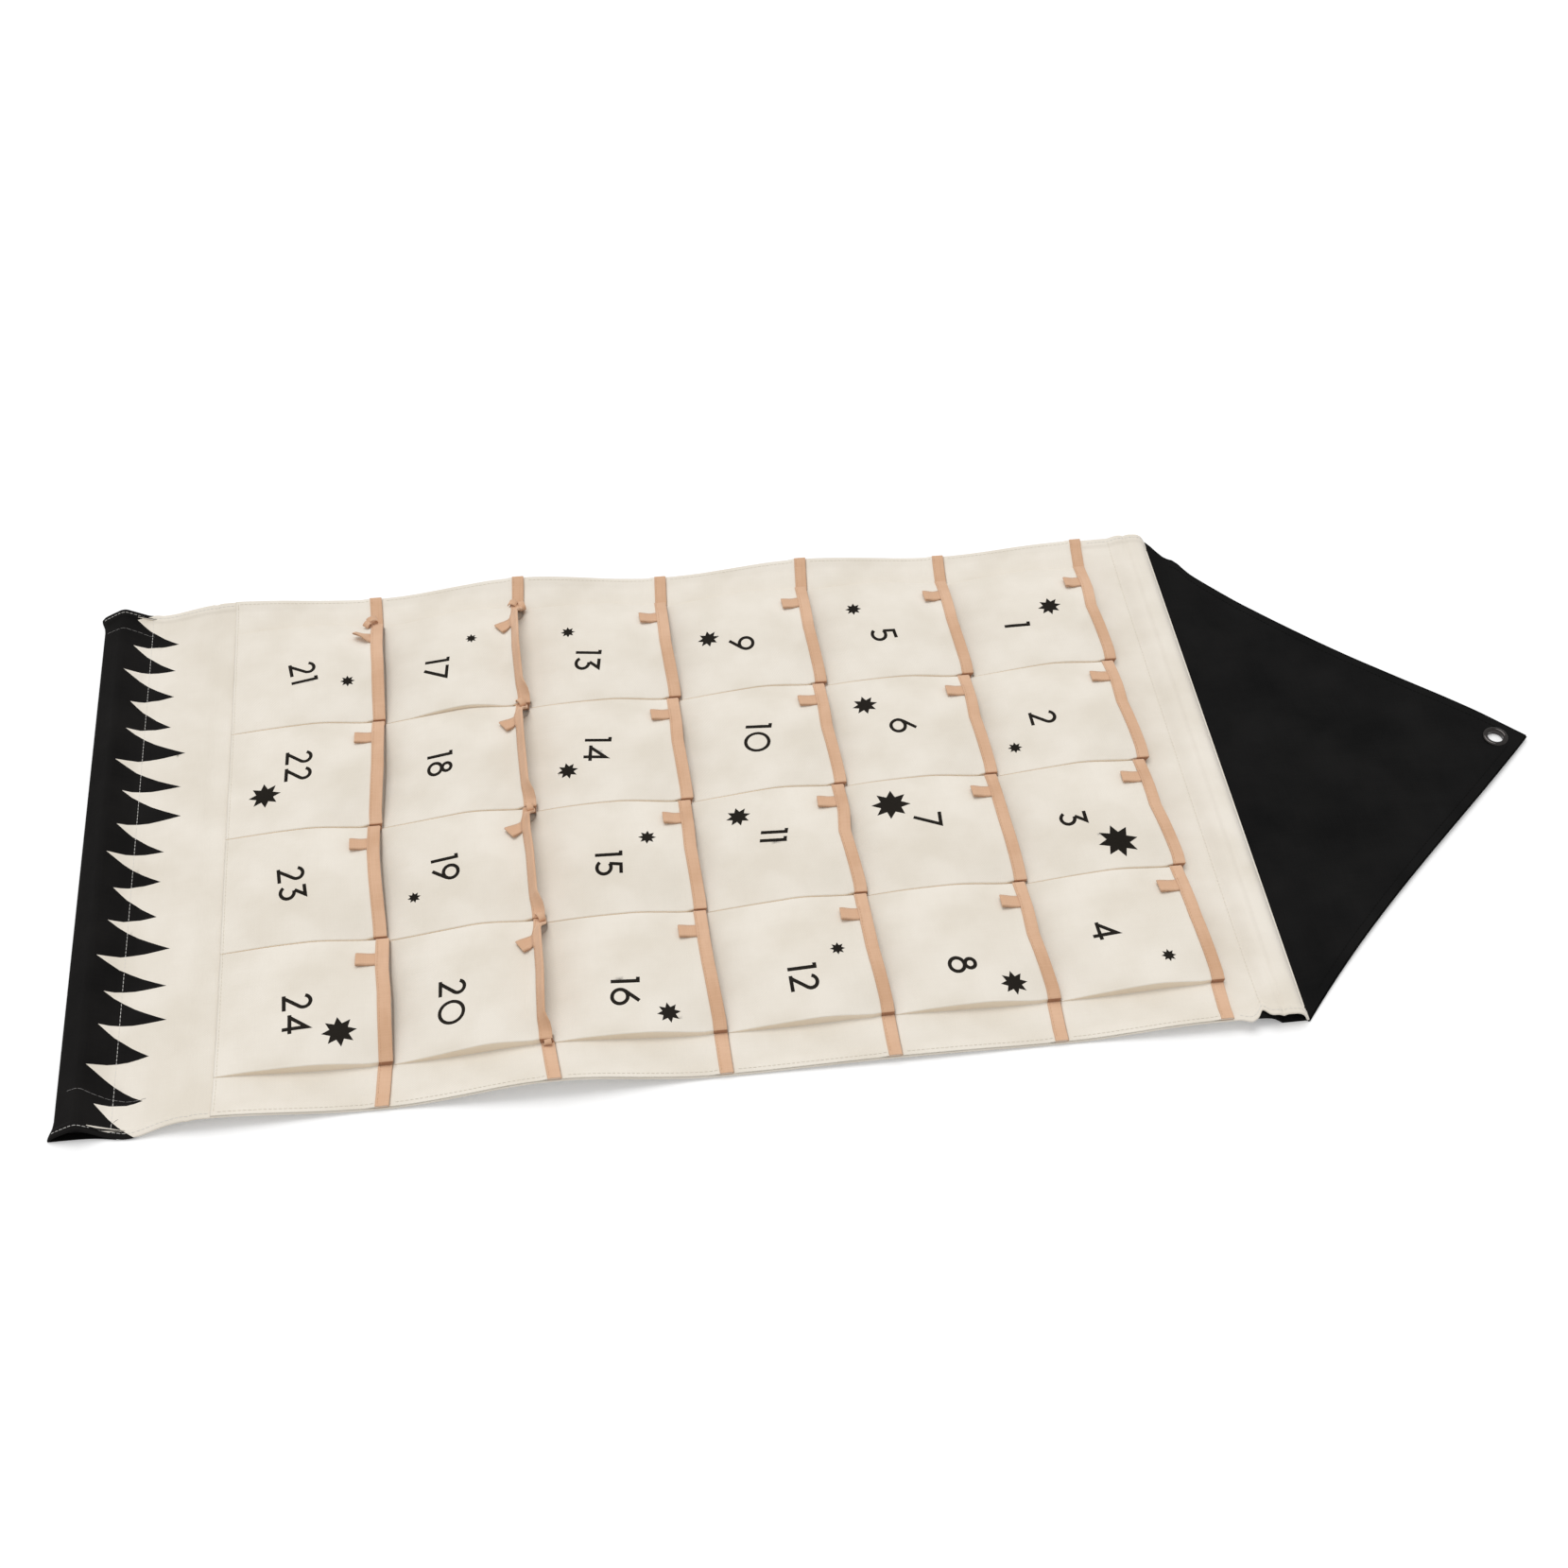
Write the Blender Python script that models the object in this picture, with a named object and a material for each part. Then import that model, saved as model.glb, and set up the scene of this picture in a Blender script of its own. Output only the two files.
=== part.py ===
"""Pocket calendar of sewn canvas, laid flat on a table with its front up.

Six strips of four pockets are sewn across a back panel. Each strip stands up in narrow gussets at its
seams, so that every pocket gapes at its mouth, and its top edge is bound in tape. A ribbon tab hangs
from the binding of each pocket. A wooden rod lies in a tunnel at each end of the panel, and a canvas
flap with a metal eyelet is sewn to the upper tunnel, to hang the calendar by.

+X runs from the left edge of the front to the right, +Y towards the flap and +Z out of the front.
The origin is on the table, below the middle of the whole. The lengths are in metres.
"""

import math

import bmesh
import bpy
from mathutils import Vector

# Overall layout
PANEL_WIDTH = 0.450
ROW_PITCH = 0.105
ROWS = 6
COLUMNS = 4
SIDE_MARGIN = 0.0315
TOP_BAND = 0.0553
BOTTOM_BAND = 0.195
FLAP_HEIGHT = 0.220

# Cloth, tape and the clearance between layers that are sewn together
CANVAS = 0.0006
TAPE = 0.0005
CLEARANCE = 0.0003
BINDING_WIDTH = 0.0085

# Pockets: how far the face stands off the panel at the mouth, and how much fuller it is in the middle
POCKET_GAPE = 0.0080
POCKET_CROWN = 0.0025
POCKET_LEAST_GAPE = 0.0005
FULLNESS_POWER = 2
mouth_shares = (1, 1, 1, 1, 1.45, 1.1)
strip_station_shares = (0.32, 0.57, 0.82)

# Waves of the cloth: the panel rises under rows 1, 3 and 5 and at the foot of row 6, most at its side edges
SIDE_CURL = 0.011
CURL_POWER = 6
RIDGE_END_POWER = 8
left_curl_shares = (0.55, 0.75, 1.0, 0.7)
right_curl_shares = (0.65, 0.2, 1.1, 0.75)
middle_lift_shares = (0.25, 0.27, 0.36, 0.12)

# Tunnels and rods
ROD_DIAMETER = 0.008
ROD_INSET = 0.006
ROD_BEVEL = 0.0008
ROD_SIDES = 20
TOP_TUNNEL = 0.030
BOTTOM_TUNNEL = 0.032
TOP_ROD_BACK = 0.014
BOTTOM_ROD_UP = 0.015
ROD_LOOSENESS = 0.0005
SEAM_ALLOWANCE = 0.006
ARCH_STEPS = 5

# Printed band at the foot of the panel
PRINT_HEIGHT = 0.062

# Ribbon tabs
TAB_WIDTH = 0.0105
TAB_LENGTH = 0.0122
TAB_FROM_SEAM = 0.020
TAB_SLIT = 0.0003
# How far each row's tabs lean towards the right edge, against their way down
tab_lean_shares = (0, 0, 0, 0, 0.6, 0)

# Flap and its fold: its edges draw in between their ends, and its tip lies a little to the right
FLAP_TIP = 0.004
FLAP_LEFT_DRAW_IN = 0.015
FLAP_RIGHT_DRAW_IN = 0.0065
FLAP_DRIFT = 0.0035
FLAP_STEPS = 9
PANEL_END_SETBACK = 0.0018
BACKING_TOP_SETBACK = 0.00115
BACKING_FOOT_SETBACK = 0.00085

# Eyelet
EYELET_FROM_TIP = 0.0215
EYELET_BORE = 0.010
EYELET_FLANGE = 0.018
EYELET_SHEET = 0.0005
EYELET_CROWN = 0.0009
EYELET_ROLL = 0.0131
WASHER_BORE = 0.0117
WASHER_DISH = 0.0003
EYELET_SIDES = 24

# Edges sharper than this, in degrees, stay sharp on turned pieces
SMOOTH_ANGLE = 40

# Colour, roughness and metallic value of each material
MATERIALS = {
    "cream_canvas": ((0.82, 0.77, 0.68), 0.9, 0.0),
    "black_canvas": ((0.012, 0.011, 0.010), 0.85, 0.0),
    "tan_tape": ((0.72, 0.43, 0.26), 0.85, 0.0),
    "pale_wood": ((0.66, 0.47, 0.28), 0.6, 0.0),
    "dark_nickel": ((0.20, 0.18, 0.16), 0.35, 1.0),
}

# Places that follow from the sizes
TOTAL_LENGTH = FLAP_HEIGHT + TOP_BAND + (ROWS - 1) * ROW_PITCH + BOTTOM_BAND
BOTTOM_Y = -TOTAL_LENGTH / 2
FOLD_Y = TOTAL_LENGTH / 2 - FLAP_HEIGHT
FIRST_ROW_Y = FOLD_Y - TOP_BAND
TOP_STITCH_Y = FOLD_Y - TOP_TUNNEL
BOTTOM_STITCH_Y = BOTTOM_Y + BOTTOM_TUNNEL
POCKET_WIDTH = (PANEL_WIDTH - 2 * SIDE_MARGIN) / COLUMNS
ROD_RADIUS = ROD_DIAMETER / 2
ARCH_RADIUS = ROD_RADIUS + ROD_LOOSENESS + CANVAS / 2
ROD_Z = CANVAS + CLEARANCE + ROD_RADIUS
TOP_ROD_Y = FOLD_Y - TOP_ROD_BACK
BOTTOM_ROD_Y = BOTTOM_Y + BOTTOM_ROD_UP
UPPER_LAYER = CANVAS + CLEARANCE + CANVAS / 2
EYELET_X = FLAP_DRIFT * (1 - EYELET_FROM_TIP / FLAP_HEIGHT)
EYELET_Y = TOTAL_LENGTH / 2 - EYELET_FROM_TIP
EYELET_LIFT = 2 * EYELET_SHEET + WASHER_DISH + 3 * CLEARANCE


def clear_scene():
    for obj in list(bpy.data.objects):
        bpy.data.objects.remove(obj, do_unlink=True)


def make_material(name):
    colour, roughness, metallic = MATERIALS[name]
    material = bpy.data.materials.new(name)
    material.use_nodes = True
    shader = material.node_tree.nodes["Principled BSDF"]
    shader.inputs["Base Color"].default_value = (*colour, 1)
    shader.inputs["Roughness"].default_value = roughness
    shader.inputs["Metallic"].default_value = metallic
    return material


def add_object(name, mesh_data, material_name):
    mesh_data.materials.append(make_material(material_name))
    obj = bpy.data.objects.new(name, mesh_data)
    bpy.context.scene.collection.objects.link(obj)
    return obj


def row_y(row):
    """The middle of a row's binding. Row 1 is next to the flap."""
    return FIRST_ROW_Y - (row - 1) * ROW_PITCH


def seam_x(seam):
    """Seam 0 is beside the left margin, and the last is beside the right margin."""
    return -PANEL_WIDTH / 2 + SIDE_MARGIN + seam * POCKET_WIDTH


def ridge_share(row, y):
    """1 on the row's binding, falling smoothly to 0 at the rows on both sides.

    Above row 1 the cloth stays up until it is close to the rod. The foot of row 6 counts as a row.
    """
    away = y - row_y(row)
    if row == 1 and away > 0:
        rod_side = TOP_ROD_Y - ROD_RADIUS - row_y(row)
        return max(0, 1 - (away / rod_side) ** RIDGE_END_POWER)
    reach = ROW_PITCH
    if row > ROWS and away < 0:
        reach = row_y(row) - BOTTOM_STITCH_Y - SEAM_ALLOWANCE
    return (1 + math.cos(math.pi * min(abs(away) / reach, 1))) / 2


def ground(x, y):
    """Height of the panel's underside above the table."""
    curl = SIDE_CURL * abs(2 * x / PANEL_WIDTH) ** CURL_POWER
    curl_shares = left_curl_shares if x < 0 else right_curl_shares
    height = 0
    for i, row in enumerate(range(1, ROWS + 2, 2)):
        lift = SIDE_CURL * middle_lift_shares[i] + curl * (curl_shares[i] - middle_lift_shares[i])
        height += lift * ridge_share(row, y)
    return height


def drape(x, y, above):
    """The point that lies this far above the panel's underside."""
    return Vector((x, y, ground(x, y) + above))


def offset_path(path, distance):
    """A path of 2-D points moved to its left by a distance, with mitred corners."""
    points = [Vector(point) for point in path]
    ways = [(b - a).normalized() for a, b in zip(points, points[1:])]
    moved = []
    for i, point in enumerate(points):
        before = ways[max(i - 1, 0)]
        after = ways[min(i, len(ways) - 1)]
        side = Vector((-before.y - after.y, before.x + after.x))
        moved.append(point + side * distance / (1 + before.dot(after)))
    return moved


def grid_faces(mesh, grid, flip):
    """Triangles over a grid of vertices. Every sheet is split along the same diagonal."""
    for row, following in zip(grid, grid[1:]):
        for i in range(len(row) - 1):
            for corners in ((row[i], following[i], following[i + 1]), (row[i], following[i + 1], row[i + 1])):
                mesh.faces.new(corners[::-1] if flip else corners)


def shell(name, outer, inner, material_name):
    """A closed sheet of cloth between two grids of points that match."""
    mesh = bmesh.new()
    a = [[mesh.verts.new(point) for point in row] for row in outer]
    b = [[mesh.verts.new(point) for point in row] for row in inner]
    grid_faces(mesh, a, False)
    grid_faces(mesh, b, True)
    edges = ((a[0], b[0]), (b[-1], a[-1]))
    edges += (([row[0] for row in b], [row[0] for row in a]),)
    edges += (([row[-1] for row in a], [row[-1] for row in b]),)
    for first, second in edges:
        grid_faces(mesh, [first, second], True)
    bmesh.ops.recalc_face_normals(mesh, faces=mesh.faces)
    data = bpy.data.meshes.new(name)
    mesh.to_mesh(data)
    mesh.free()
    return add_object(name, data, material_name)


def tangent_angle(point, centre, side):
    """Where a cloth that comes from a point meets the arch, as an angle from the top towards +Y."""
    away = Vector(point) - Vector(centre)
    from_top = math.atan2(away.x, away.y)
    return from_top - side * math.acos(ARCH_RADIUS / away.length)


def arch_path(start, end, centre):
    """Cloth drawn from start over a rod and down to end, which lies further towards -Y."""
    first = tangent_angle(start, centre, 1)
    last = tangent_angle(end, centre, -1)
    path = []
    for i in range(ARCH_STEPS + 1):
        angle = first + (last - first) * i / ARCH_STEPS
        path.append((centre[0] + ARCH_RADIUS * math.sin(angle), centre[1] + ARCH_RADIUS * math.cos(angle)))
    return [start, *path, end]


def strip_stations(row):
    """Where a strip is measured down its length, each with its share of the pocket's depth."""
    top = row_y(row) + BINDING_WIDTH / 2 - TAPE - CLEARANCE
    bottom = row_y(row) - ROW_PITCH + BINDING_WIDTH / 2 + CLEARANCE
    stations = [(top, 0), (row_y(row) - BINDING_WIDTH / 2, 0)]
    stations += [(top + (bottom - top) * share, share) for share in strip_station_shares]
    return [*stations, (bottom, 1)]


def panel_path():
    """The panel from its top edge to the end of its bottom hem, as (y, height) of the cloth's middle."""
    top = (FOLD_Y - PANEL_END_SETBACK, UPPER_LAYER)
    path = arch_path(top, (TOP_STITCH_Y, UPPER_LAYER), (TOP_ROD_Y, ROD_Z))
    path.append((TOP_STITCH_Y - SEAM_ALLOWANCE, UPPER_LAYER))
    path.append((TOP_STITCH_Y - SEAM_ALLOWANCE - SEAM_ALLOWANCE / 2, CANVAS / 2))
    for row in range(1, ROWS + 1):
        path += [(y, CANVAS / 2) for y, _ in strip_stations(row)[:-1]]
    path += [(y, CANVAS / 2) for y in (strip_stations(ROWS)[-1][0], row_y(ROWS + 1), BOTTOM_Y + PRINT_HEIGHT)]
    hem_end = BOTTOM_STITCH_Y + SEAM_ALLOWANCE
    path += [(hem_end + SEAM_ALLOWANCE / 2, CANVAS / 2), (hem_end, UPPER_LAYER)]
    fold = BOTTOM_Y + CANVAS / 2
    path += arch_path((BOTTOM_STITCH_Y, UPPER_LAYER), (fold, UPPER_LAYER), (BOTTOM_ROD_Y, ROD_Z))
    return [*path, (fold, CANVAS / 2), (hem_end, CANVAS / 2)]


def panel_stations():
    """Where the panel is measured across: its edges, the margins' middles, the seams and the pockets' middles."""
    middles = [seam_x(seam) + POCKET_WIDTH / 2 for seam in range(COLUMNS)]
    seams = [seam_x(seam) for seam in range(COLUMNS + 1)]
    edges = [side * (PANEL_WIDTH - inset) / 2 for side in (-1, 1) for inset in (0, SIDE_MARGIN)]
    return sorted(middles + seams + edges)


def build_back_panel():
    above = offset_path(panel_path(), -CANVAS / 2)
    below = offset_path(panel_path(), CANVAS / 2)
    outer = [[drape(x, *point) for point in above] for x in panel_stations()]
    inner = [[drape(x, *point) for point in below] for x in panel_stations()]
    panel = shell("back_panel", outer, inner, "cream_canvas")
    panel.data.materials.append(make_material("black_canvas"))
    for face in panel.data.polygons:
        printed = face.center.y < BOTTOM_Y + PRINT_HEIGHT and face.normal.z > 0
        face.material_index = int(printed)
    return panel


def strip_path(row, share, bound):
    """A strip across the panel, as (x, height over the panel's front) of the cloth's middle.

    It lies on both margins and at each seam, and stands off the panel as a pocket between two seams.
    Where the binding wraps round it, it keeps the room that the binding's back leaf takes.
    """
    room = TAPE + CLEARANCE if bound else 0
    seat = CLEARANCE + room + CANVAS / 2
    slot = CANVAS / 2 + CLEARANCE + (TAPE if bound else 0)
    fullness = 1 - share**FULLNESS_POWER
    gape = seat + POCKET_LEAST_GAPE + POCKET_GAPE * mouth_shares[row - 1] * fullness
    middle = gape + POCKET_CROWN * fullness
    edge = PANEL_WIDTH / 2
    margin_middle = (PANEL_WIDTH - SIDE_MARGIN) / 2
    path = [(-edge, seat), (-margin_middle, seat), (seam_x(0), seat)]
    for column in range(COLUMNS):
        left = seam_x(column) + (slot if column else 0)
        right = seam_x(column + 1) - (slot if column < COLUMNS - 1 else 0)
        path += [(left, seat)] if column else []
        path += [(left, gape), (seam_x(column) + POCKET_WIDTH / 2, middle), (right, gape), (right, seat)]
    return [*path, (margin_middle, seat), (edge, seat)]


def strip_offsets(row, share, bound, distance):
    return offset_path(strip_path(row, share, bound), distance)


def build_pocket_strip(row):
    outer = []
    inner = []
    for i, (y, share) in enumerate(strip_stations(row)):
        for grid, distance in ((outer, CANVAS / 2), (inner, -CANVAS / 2)):
            path = strip_offsets(row, share, i < 2, distance)
            grid.append([drape(x, y, CANVAS + height) for x, height in path])
    return shell(f"pocket_strip_row_{row}", outer, inner, "cream_canvas")


def build_binding(row):
    """Tape folded over the top edge of a strip, with a front leaf and a back leaf."""
    near = CANVAS / 2 + CLEARANCE
    far = near + TAPE
    low = row_y(row) - BINDING_WIDTH / 2
    high = row_y(row) + BINDING_WIDTH / 2
    grids = []
    for distance, top in ((far, high), (near, high - TAPE)):
        front = strip_offsets(row, 0, True, distance)
        back = strip_offsets(row, 0, True, -distance)
        leaves = ((front, low), (front, top), (back, top), (back, low))
        grids.append([[drape(x, y, CANVAS + height) for x, height in path] for path, y in leaves])
    return shell(f"binding_row_{row}", *grids, "tan_tape")


def face_point(row, column, x, y):
    """The point of a pocket's left half at (x, y), on the middle of its cloth as the strip's mesh has it."""
    stations = [(station_y, share, i < 2) for i, (station_y, share) in enumerate(strip_stations(row))]
    upper, lower = next(pair for pair in zip(stations, stations[1:]) if pair[0][0] >= y >= pair[1][0])
    heights = []
    for station_y, share, bound in (upper, lower):
        path = strip_path(row, share, bound)
        corner = next(i for i, point in enumerate(path) if point[0] > seam_x(column) + POCKET_WIDTH / 4)
        left, middle = (drape(px, station_y, CANVAS + height) for px, height in path[corner - 1 : corner + 1])
        heights.append(left.z + (middle.z - left.z) * (x - left.x) / (middle.x - left.x))
    down = (upper[0] - y) / (upper[0] - lower[0])
    return Vector((x, y, heights[0] + (heights[1] - heights[0]) * down))


def tab_frame(row, column):
    """The tab's hinge line, its direction down the pocket, and the way out of the pocket's face."""
    root_y = row_y(row) - BINDING_WIDTH / 2 - CLEARANCE
    left_x = seam_x(column) + TAB_FROM_SEAM - TAB_WIDTH / 2
    left, right = (face_point(row, column, x, root_y) for x in (left_x, left_x + TAB_WIDTH))
    tip = face_point(row, column, left_x, root_y - TAB_LENGTH)
    across = (right - left).normalized()
    down = (tip - left - across * (tip - left).dot(across)).normalized()
    out = down.cross(across)
    root = (left + right) / 2 + out * (CANVAS / 2 + CLEARANCE)
    return root, across, down, out


def tab_thickness():
    return 2 * TAPE + TAB_SLIT


def tab_path():
    """Ribbon folded back on itself, as (distance down, height) of its middle."""
    low = TAPE / 2
    high = tab_thickness() - TAPE / 2
    bend = (high - low) / 2
    tip = TAB_LENGTH - TAPE / 2
    return [(0, high), (tip - bend, high), (tip, low + bend), (tip - bend, low), (0, low)]


def build_tab(number):
    """The tab's origin is on the line that it flips about, level with its upper side."""
    row, column = (number - 1) // COLUMNS + 1, (number - 1) % COLUMNS
    root, across, down, out = tab_frame(row, column)
    hinge = root + out * tab_thickness()
    lean = tab_lean_shares[row - 1]
    way = (down + across * lean).normalized()
    half_width = TAB_WIDTH / 2 * math.hypot(1, lean)
    grids = []
    for distance in (TAPE / 2, -TAPE / 2):
        grid = []
        for side in (-half_width, half_width):
            path = offset_path(tab_path(), distance)
            grid.append([root + across * side + way * along + out * height - hinge for along, height in path])
        grids.append(grid)
    tab = shell(f"tab_{number:02d}", *grids, "tan_tape")
    tab.location = hinge
    return tab


def build_tunnel_backing():
    """The strip of black canvas behind the upper tunnel, which the flap hangs from."""
    bottom = TOP_STITCH_Y - SEAM_ALLOWANCE + CLEARANCE
    grids = []
    for height, setback in ((CANVAS, BACKING_TOP_SETBACK), (0, BACKING_FOOT_SETBACK)):
        stations = (FOLD_Y - setback, TOP_ROD_Y - ROD_RADIUS, TOP_STITCH_Y, bottom)
        grids.append([[drape(x, y, height) for y in stations] for x in panel_stations()])
    return shell("top_tunnel_backing", *grids, "black_canvas")


def turned(name, profile, sides, material_name):
    """A solid of revolution from a closed profile of (radius, height) points."""
    mesh = bmesh.new()
    verts = [mesh.verts.new((radius, 0, height)) for radius, height in profile]
    edges = [mesh.edges.new(pair) for pair in zip(verts, verts[1:] + verts[:1])]
    bmesh.ops.spin(
        mesh,
        geom=verts + edges,
        cent=(0, 0, 0),
        axis=(0, 0, 1),
        angle=2 * math.pi,
        steps=sides,
        use_merge=True,
    )
    bmesh.ops.recalc_face_normals(mesh, faces=mesh.faces)
    data = bpy.data.meshes.new(name)
    mesh.to_mesh(data)
    mesh.free()
    data.shade_smooth()
    data.set_sharp_from_angle(angle=math.radians(SMOOTH_ANGLE))
    return add_object(name, data, material_name)


def build_rod(name, y):
    """Round rod along X, with its ends eased."""
    length = PANEL_WIDTH - 2 * ROD_INSET
    mesh = bmesh.new()
    bmesh.ops.create_cone(
        mesh,
        cap_ends=True,
        segments=ROD_SIDES,
        radius1=ROD_RADIUS,
        radius2=ROD_RADIUS,
        depth=length,
    )
    data = bpy.data.meshes.new(name)
    mesh.to_mesh(data)
    mesh.free()
    data.shade_smooth()
    data.set_sharp_from_angle(angle=math.radians(SMOOTH_ANGLE))
    rod = add_object(name, data, "pale_wood")
    rod.rotation_euler.y = math.pi / 2
    rod.location = (0, y, ROD_Z)
    bevel = rod.modifiers.new("eased ends", "BEVEL")
    bevel.width = ROD_BEVEL
    bevel.segments = 1
    bevel.limit_method = "ANGLE"
    return rod


def flap_edge(side, share):
    """Where the flap's left (-1) or right (1) edge is across, at a share of the way to its tip."""
    draw_in = FLAP_LEFT_DRAW_IN if side < 0 else FLAP_RIGHT_DRAW_IN
    fullest = 1 / 3
    bow = share * (1 - share) ** 2 / (fullest * (1 - fullest) ** 2)
    straight = PANEL_WIDTH / 2 + (FLAP_TIP - PANEL_WIDTH) / 2 * share
    return FLAP_DRIFT * share + side * (straight - draw_in * bow)


def build_flap(hinge):
    """A triangle of canvas on the table, raised a little towards its tip to clear the eyelet's back."""
    outer = []
    inner = []
    for step in range(FLAP_STEPS + 1):
        share = step / FLAP_STEPS
        y = FLAP_HEIGHT * share
        lift = EYELET_LIFT * (1 - (1 - share) ** 2)
        xs = [flap_edge(-1, share), FLAP_DRIFT * share, flap_edge(1, share)]
        outer.append([Vector((x, y, lift + CANVAS)) for x in xs])
        inner.append([Vector((x, y, lift)) for x in xs])
    flap = shell("hanging_flap", outer, inner, "black_canvas")
    flap.parent = hinge
    cut_eyelet_hole(flap, hinge)
    return flap


def cut_eyelet_hole(flap, hinge):
    mesh = bmesh.new()
    bmesh.ops.create_cone(
        mesh,
        cap_ends=True,
        segments=EYELET_SIDES,
        radius1=EYELET_BORE / 2 + EYELET_SHEET + CLEARANCE,
        radius2=EYELET_BORE / 2 + EYELET_SHEET + CLEARANCE,
        depth=EYELET_FLANGE,
    )
    data = bpy.data.meshes.new("eyelet_hole_cutter")
    mesh.to_mesh(data)
    mesh.free()
    cutter = bpy.data.objects.new("eyelet_hole_cutter", data)
    bpy.context.scene.collection.objects.link(cutter)
    cutter.parent = hinge
    cutter.location = (EYELET_X, EYELET_Y - FOLD_Y, EYELET_LIFT)
    cutter.hide_render = True
    cutter.display_type = "WIRE"
    cut = flap.modifiers.new("eyelet hole", "BOOLEAN")
    cut.object = cutter


def build_eyelet(hinge):
    """Flange, barrel and rolled back end of the eyelet, one pressing of sheet metal."""
    bore = EYELET_BORE / 2
    barrel = bore + EYELET_SHEET
    flange = EYELET_FLANGE / 2
    seat = EYELET_LIFT + CANVAS + CLEARANCE
    crown = (bore + flange) / 2
    roll = EYELET_ROLL / 2
    profile = [
        (bore, EYELET_SHEET / 2),
        (bore, seat + EYELET_SHEET),
        (crown - EYELET_SHEET, seat + EYELET_SHEET + EYELET_CROWN),
        (crown + EYELET_SHEET, seat + EYELET_SHEET + EYELET_CROWN),
        (flange, seat + EYELET_SHEET),
        (flange, seat),
        (barrel, seat),
        (barrel, EYELET_SHEET),
        (roll, EYELET_SHEET),
        (roll, EYELET_SHEET / 2),
        (roll - EYELET_SHEET / 2, 0),
        (bore + EYELET_SHEET / 2, 0),
    ]
    eyelet = turned("eyelet", profile, EYELET_SIDES, "dark_nickel")
    eyelet.parent = hinge
    eyelet.location = (EYELET_X, EYELET_Y - FOLD_Y, 0)
    return eyelet


def build_washer(hinge):
    """Dished ring that the eyelet's back end is rolled over."""
    bore = WASHER_BORE / 2
    rim = EYELET_FLANGE / 2
    top = EYELET_LIFT - CLEARANCE
    low = EYELET_SHEET + CLEARANCE
    profile = [
        (bore, low),
        (bore, low + EYELET_SHEET),
        (rim - EYELET_SHEET, top),
        (rim, top),
        (rim, top - EYELET_SHEET),
    ]
    washer = turned("eyelet_washer", profile, EYELET_SIDES, "dark_nickel")
    washer.parent = hinge
    washer.location = (EYELET_X, EYELET_Y - FOLD_Y, 0)
    return washer


def build_hanging_end():
    """The flap and its eyelet, on an empty on the line that the flap folds about."""
    hinge = bpy.data.objects.new("flap_fold_line", None)
    bpy.context.scene.collection.objects.link(hinge)
    hinge.location = (0, FOLD_Y, 0)
    build_flap(hinge)
    build_eyelet(hinge)
    build_washer(hinge)


def main():
    clear_scene()
    build_back_panel()
    build_tunnel_backing()
    build_hanging_end()
    for row in range(1, ROWS + 1):
        build_pocket_strip(row)
        build_binding(row)
    for number in range(1, ROWS * COLUMNS + 1):
        build_tab(number)
    build_rod("top_rod", TOP_ROD_Y)
    build_rod("bottom_rod", BOTTOM_ROD_Y)


main()
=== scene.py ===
"""Looks of the pocket calendar: sewn canvas, tape, ribbon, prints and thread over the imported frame."""

import math
from functools import partial

import bmesh
import bpy
import numpy as np
from mathutils import Matrix, Vector
from mathutils.geometry import delaunay_2d_cdt


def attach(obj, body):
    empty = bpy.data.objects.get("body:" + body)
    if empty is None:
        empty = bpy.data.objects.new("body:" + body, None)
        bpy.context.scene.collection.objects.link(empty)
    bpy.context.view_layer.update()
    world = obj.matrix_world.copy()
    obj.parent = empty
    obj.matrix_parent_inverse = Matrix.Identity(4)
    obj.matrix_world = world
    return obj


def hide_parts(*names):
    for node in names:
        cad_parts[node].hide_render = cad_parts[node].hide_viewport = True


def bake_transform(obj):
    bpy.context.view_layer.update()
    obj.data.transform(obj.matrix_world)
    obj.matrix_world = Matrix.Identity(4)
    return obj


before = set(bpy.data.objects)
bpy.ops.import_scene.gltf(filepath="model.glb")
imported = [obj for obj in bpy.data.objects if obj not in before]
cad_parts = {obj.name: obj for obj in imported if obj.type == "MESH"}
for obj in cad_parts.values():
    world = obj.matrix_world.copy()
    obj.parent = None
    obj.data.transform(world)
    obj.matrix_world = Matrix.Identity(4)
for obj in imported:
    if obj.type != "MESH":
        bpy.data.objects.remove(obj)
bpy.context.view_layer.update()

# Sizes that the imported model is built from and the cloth's own forms: lengths in metres
PANEL_WIDTH = 0.450
ROW_PITCH = 0.105
ROWS = 6  # of pockets
COLUMNS = 4
SIDE_MARGIN = 0.0315
TOP_BAND = 0.0553
BOTTOM_BAND = 0.195
FLAP_HEIGHT = 0.220
CANVAS = 0.0006
TAPE = 0.0005
CLEARANCE = 0.0003
BINDING_WIDTH = 0.0085
POCKET_GAPE = 0.0080
POCKET_CROWN = 0.0025
POCKET_LEAST_GAPE = 0.0005
MOUTH_SHARES = (1, 1, 1, 1, 1.45, 1.1)
SIDE_CURL = 0.011
CURL_POWER = 6
RIDGE_END_POWER = 8
LEFT_CURLS = (0.55, 0.75, 1.0, 0.7)
RIGHT_CURLS = (0.65, 0.2, 1.1, 0.75)
MIDDLE_LIFTS = (0.25, 0.27, 0.36, 0.12)
ROD_RADIUS = 0.004
TOP_TUNNEL = 0.030
BOTTOM_TUNNEL = 0.032
TOP_ROD_BACK = 0.014
BOTTOM_ROD_UP = 0.015
SEAM_ALLOWANCE = 0.006
TAB_WIDTH = 0.0105
TAB_LENGTH = 0.0122
TAB_FROM_SEAM = 0.020
FLAP_TIP = 0.004
FLAP_LEFT_DRAW_IN = 0.015
FLAP_RIGHT_DRAW_IN = 0.0065
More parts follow.
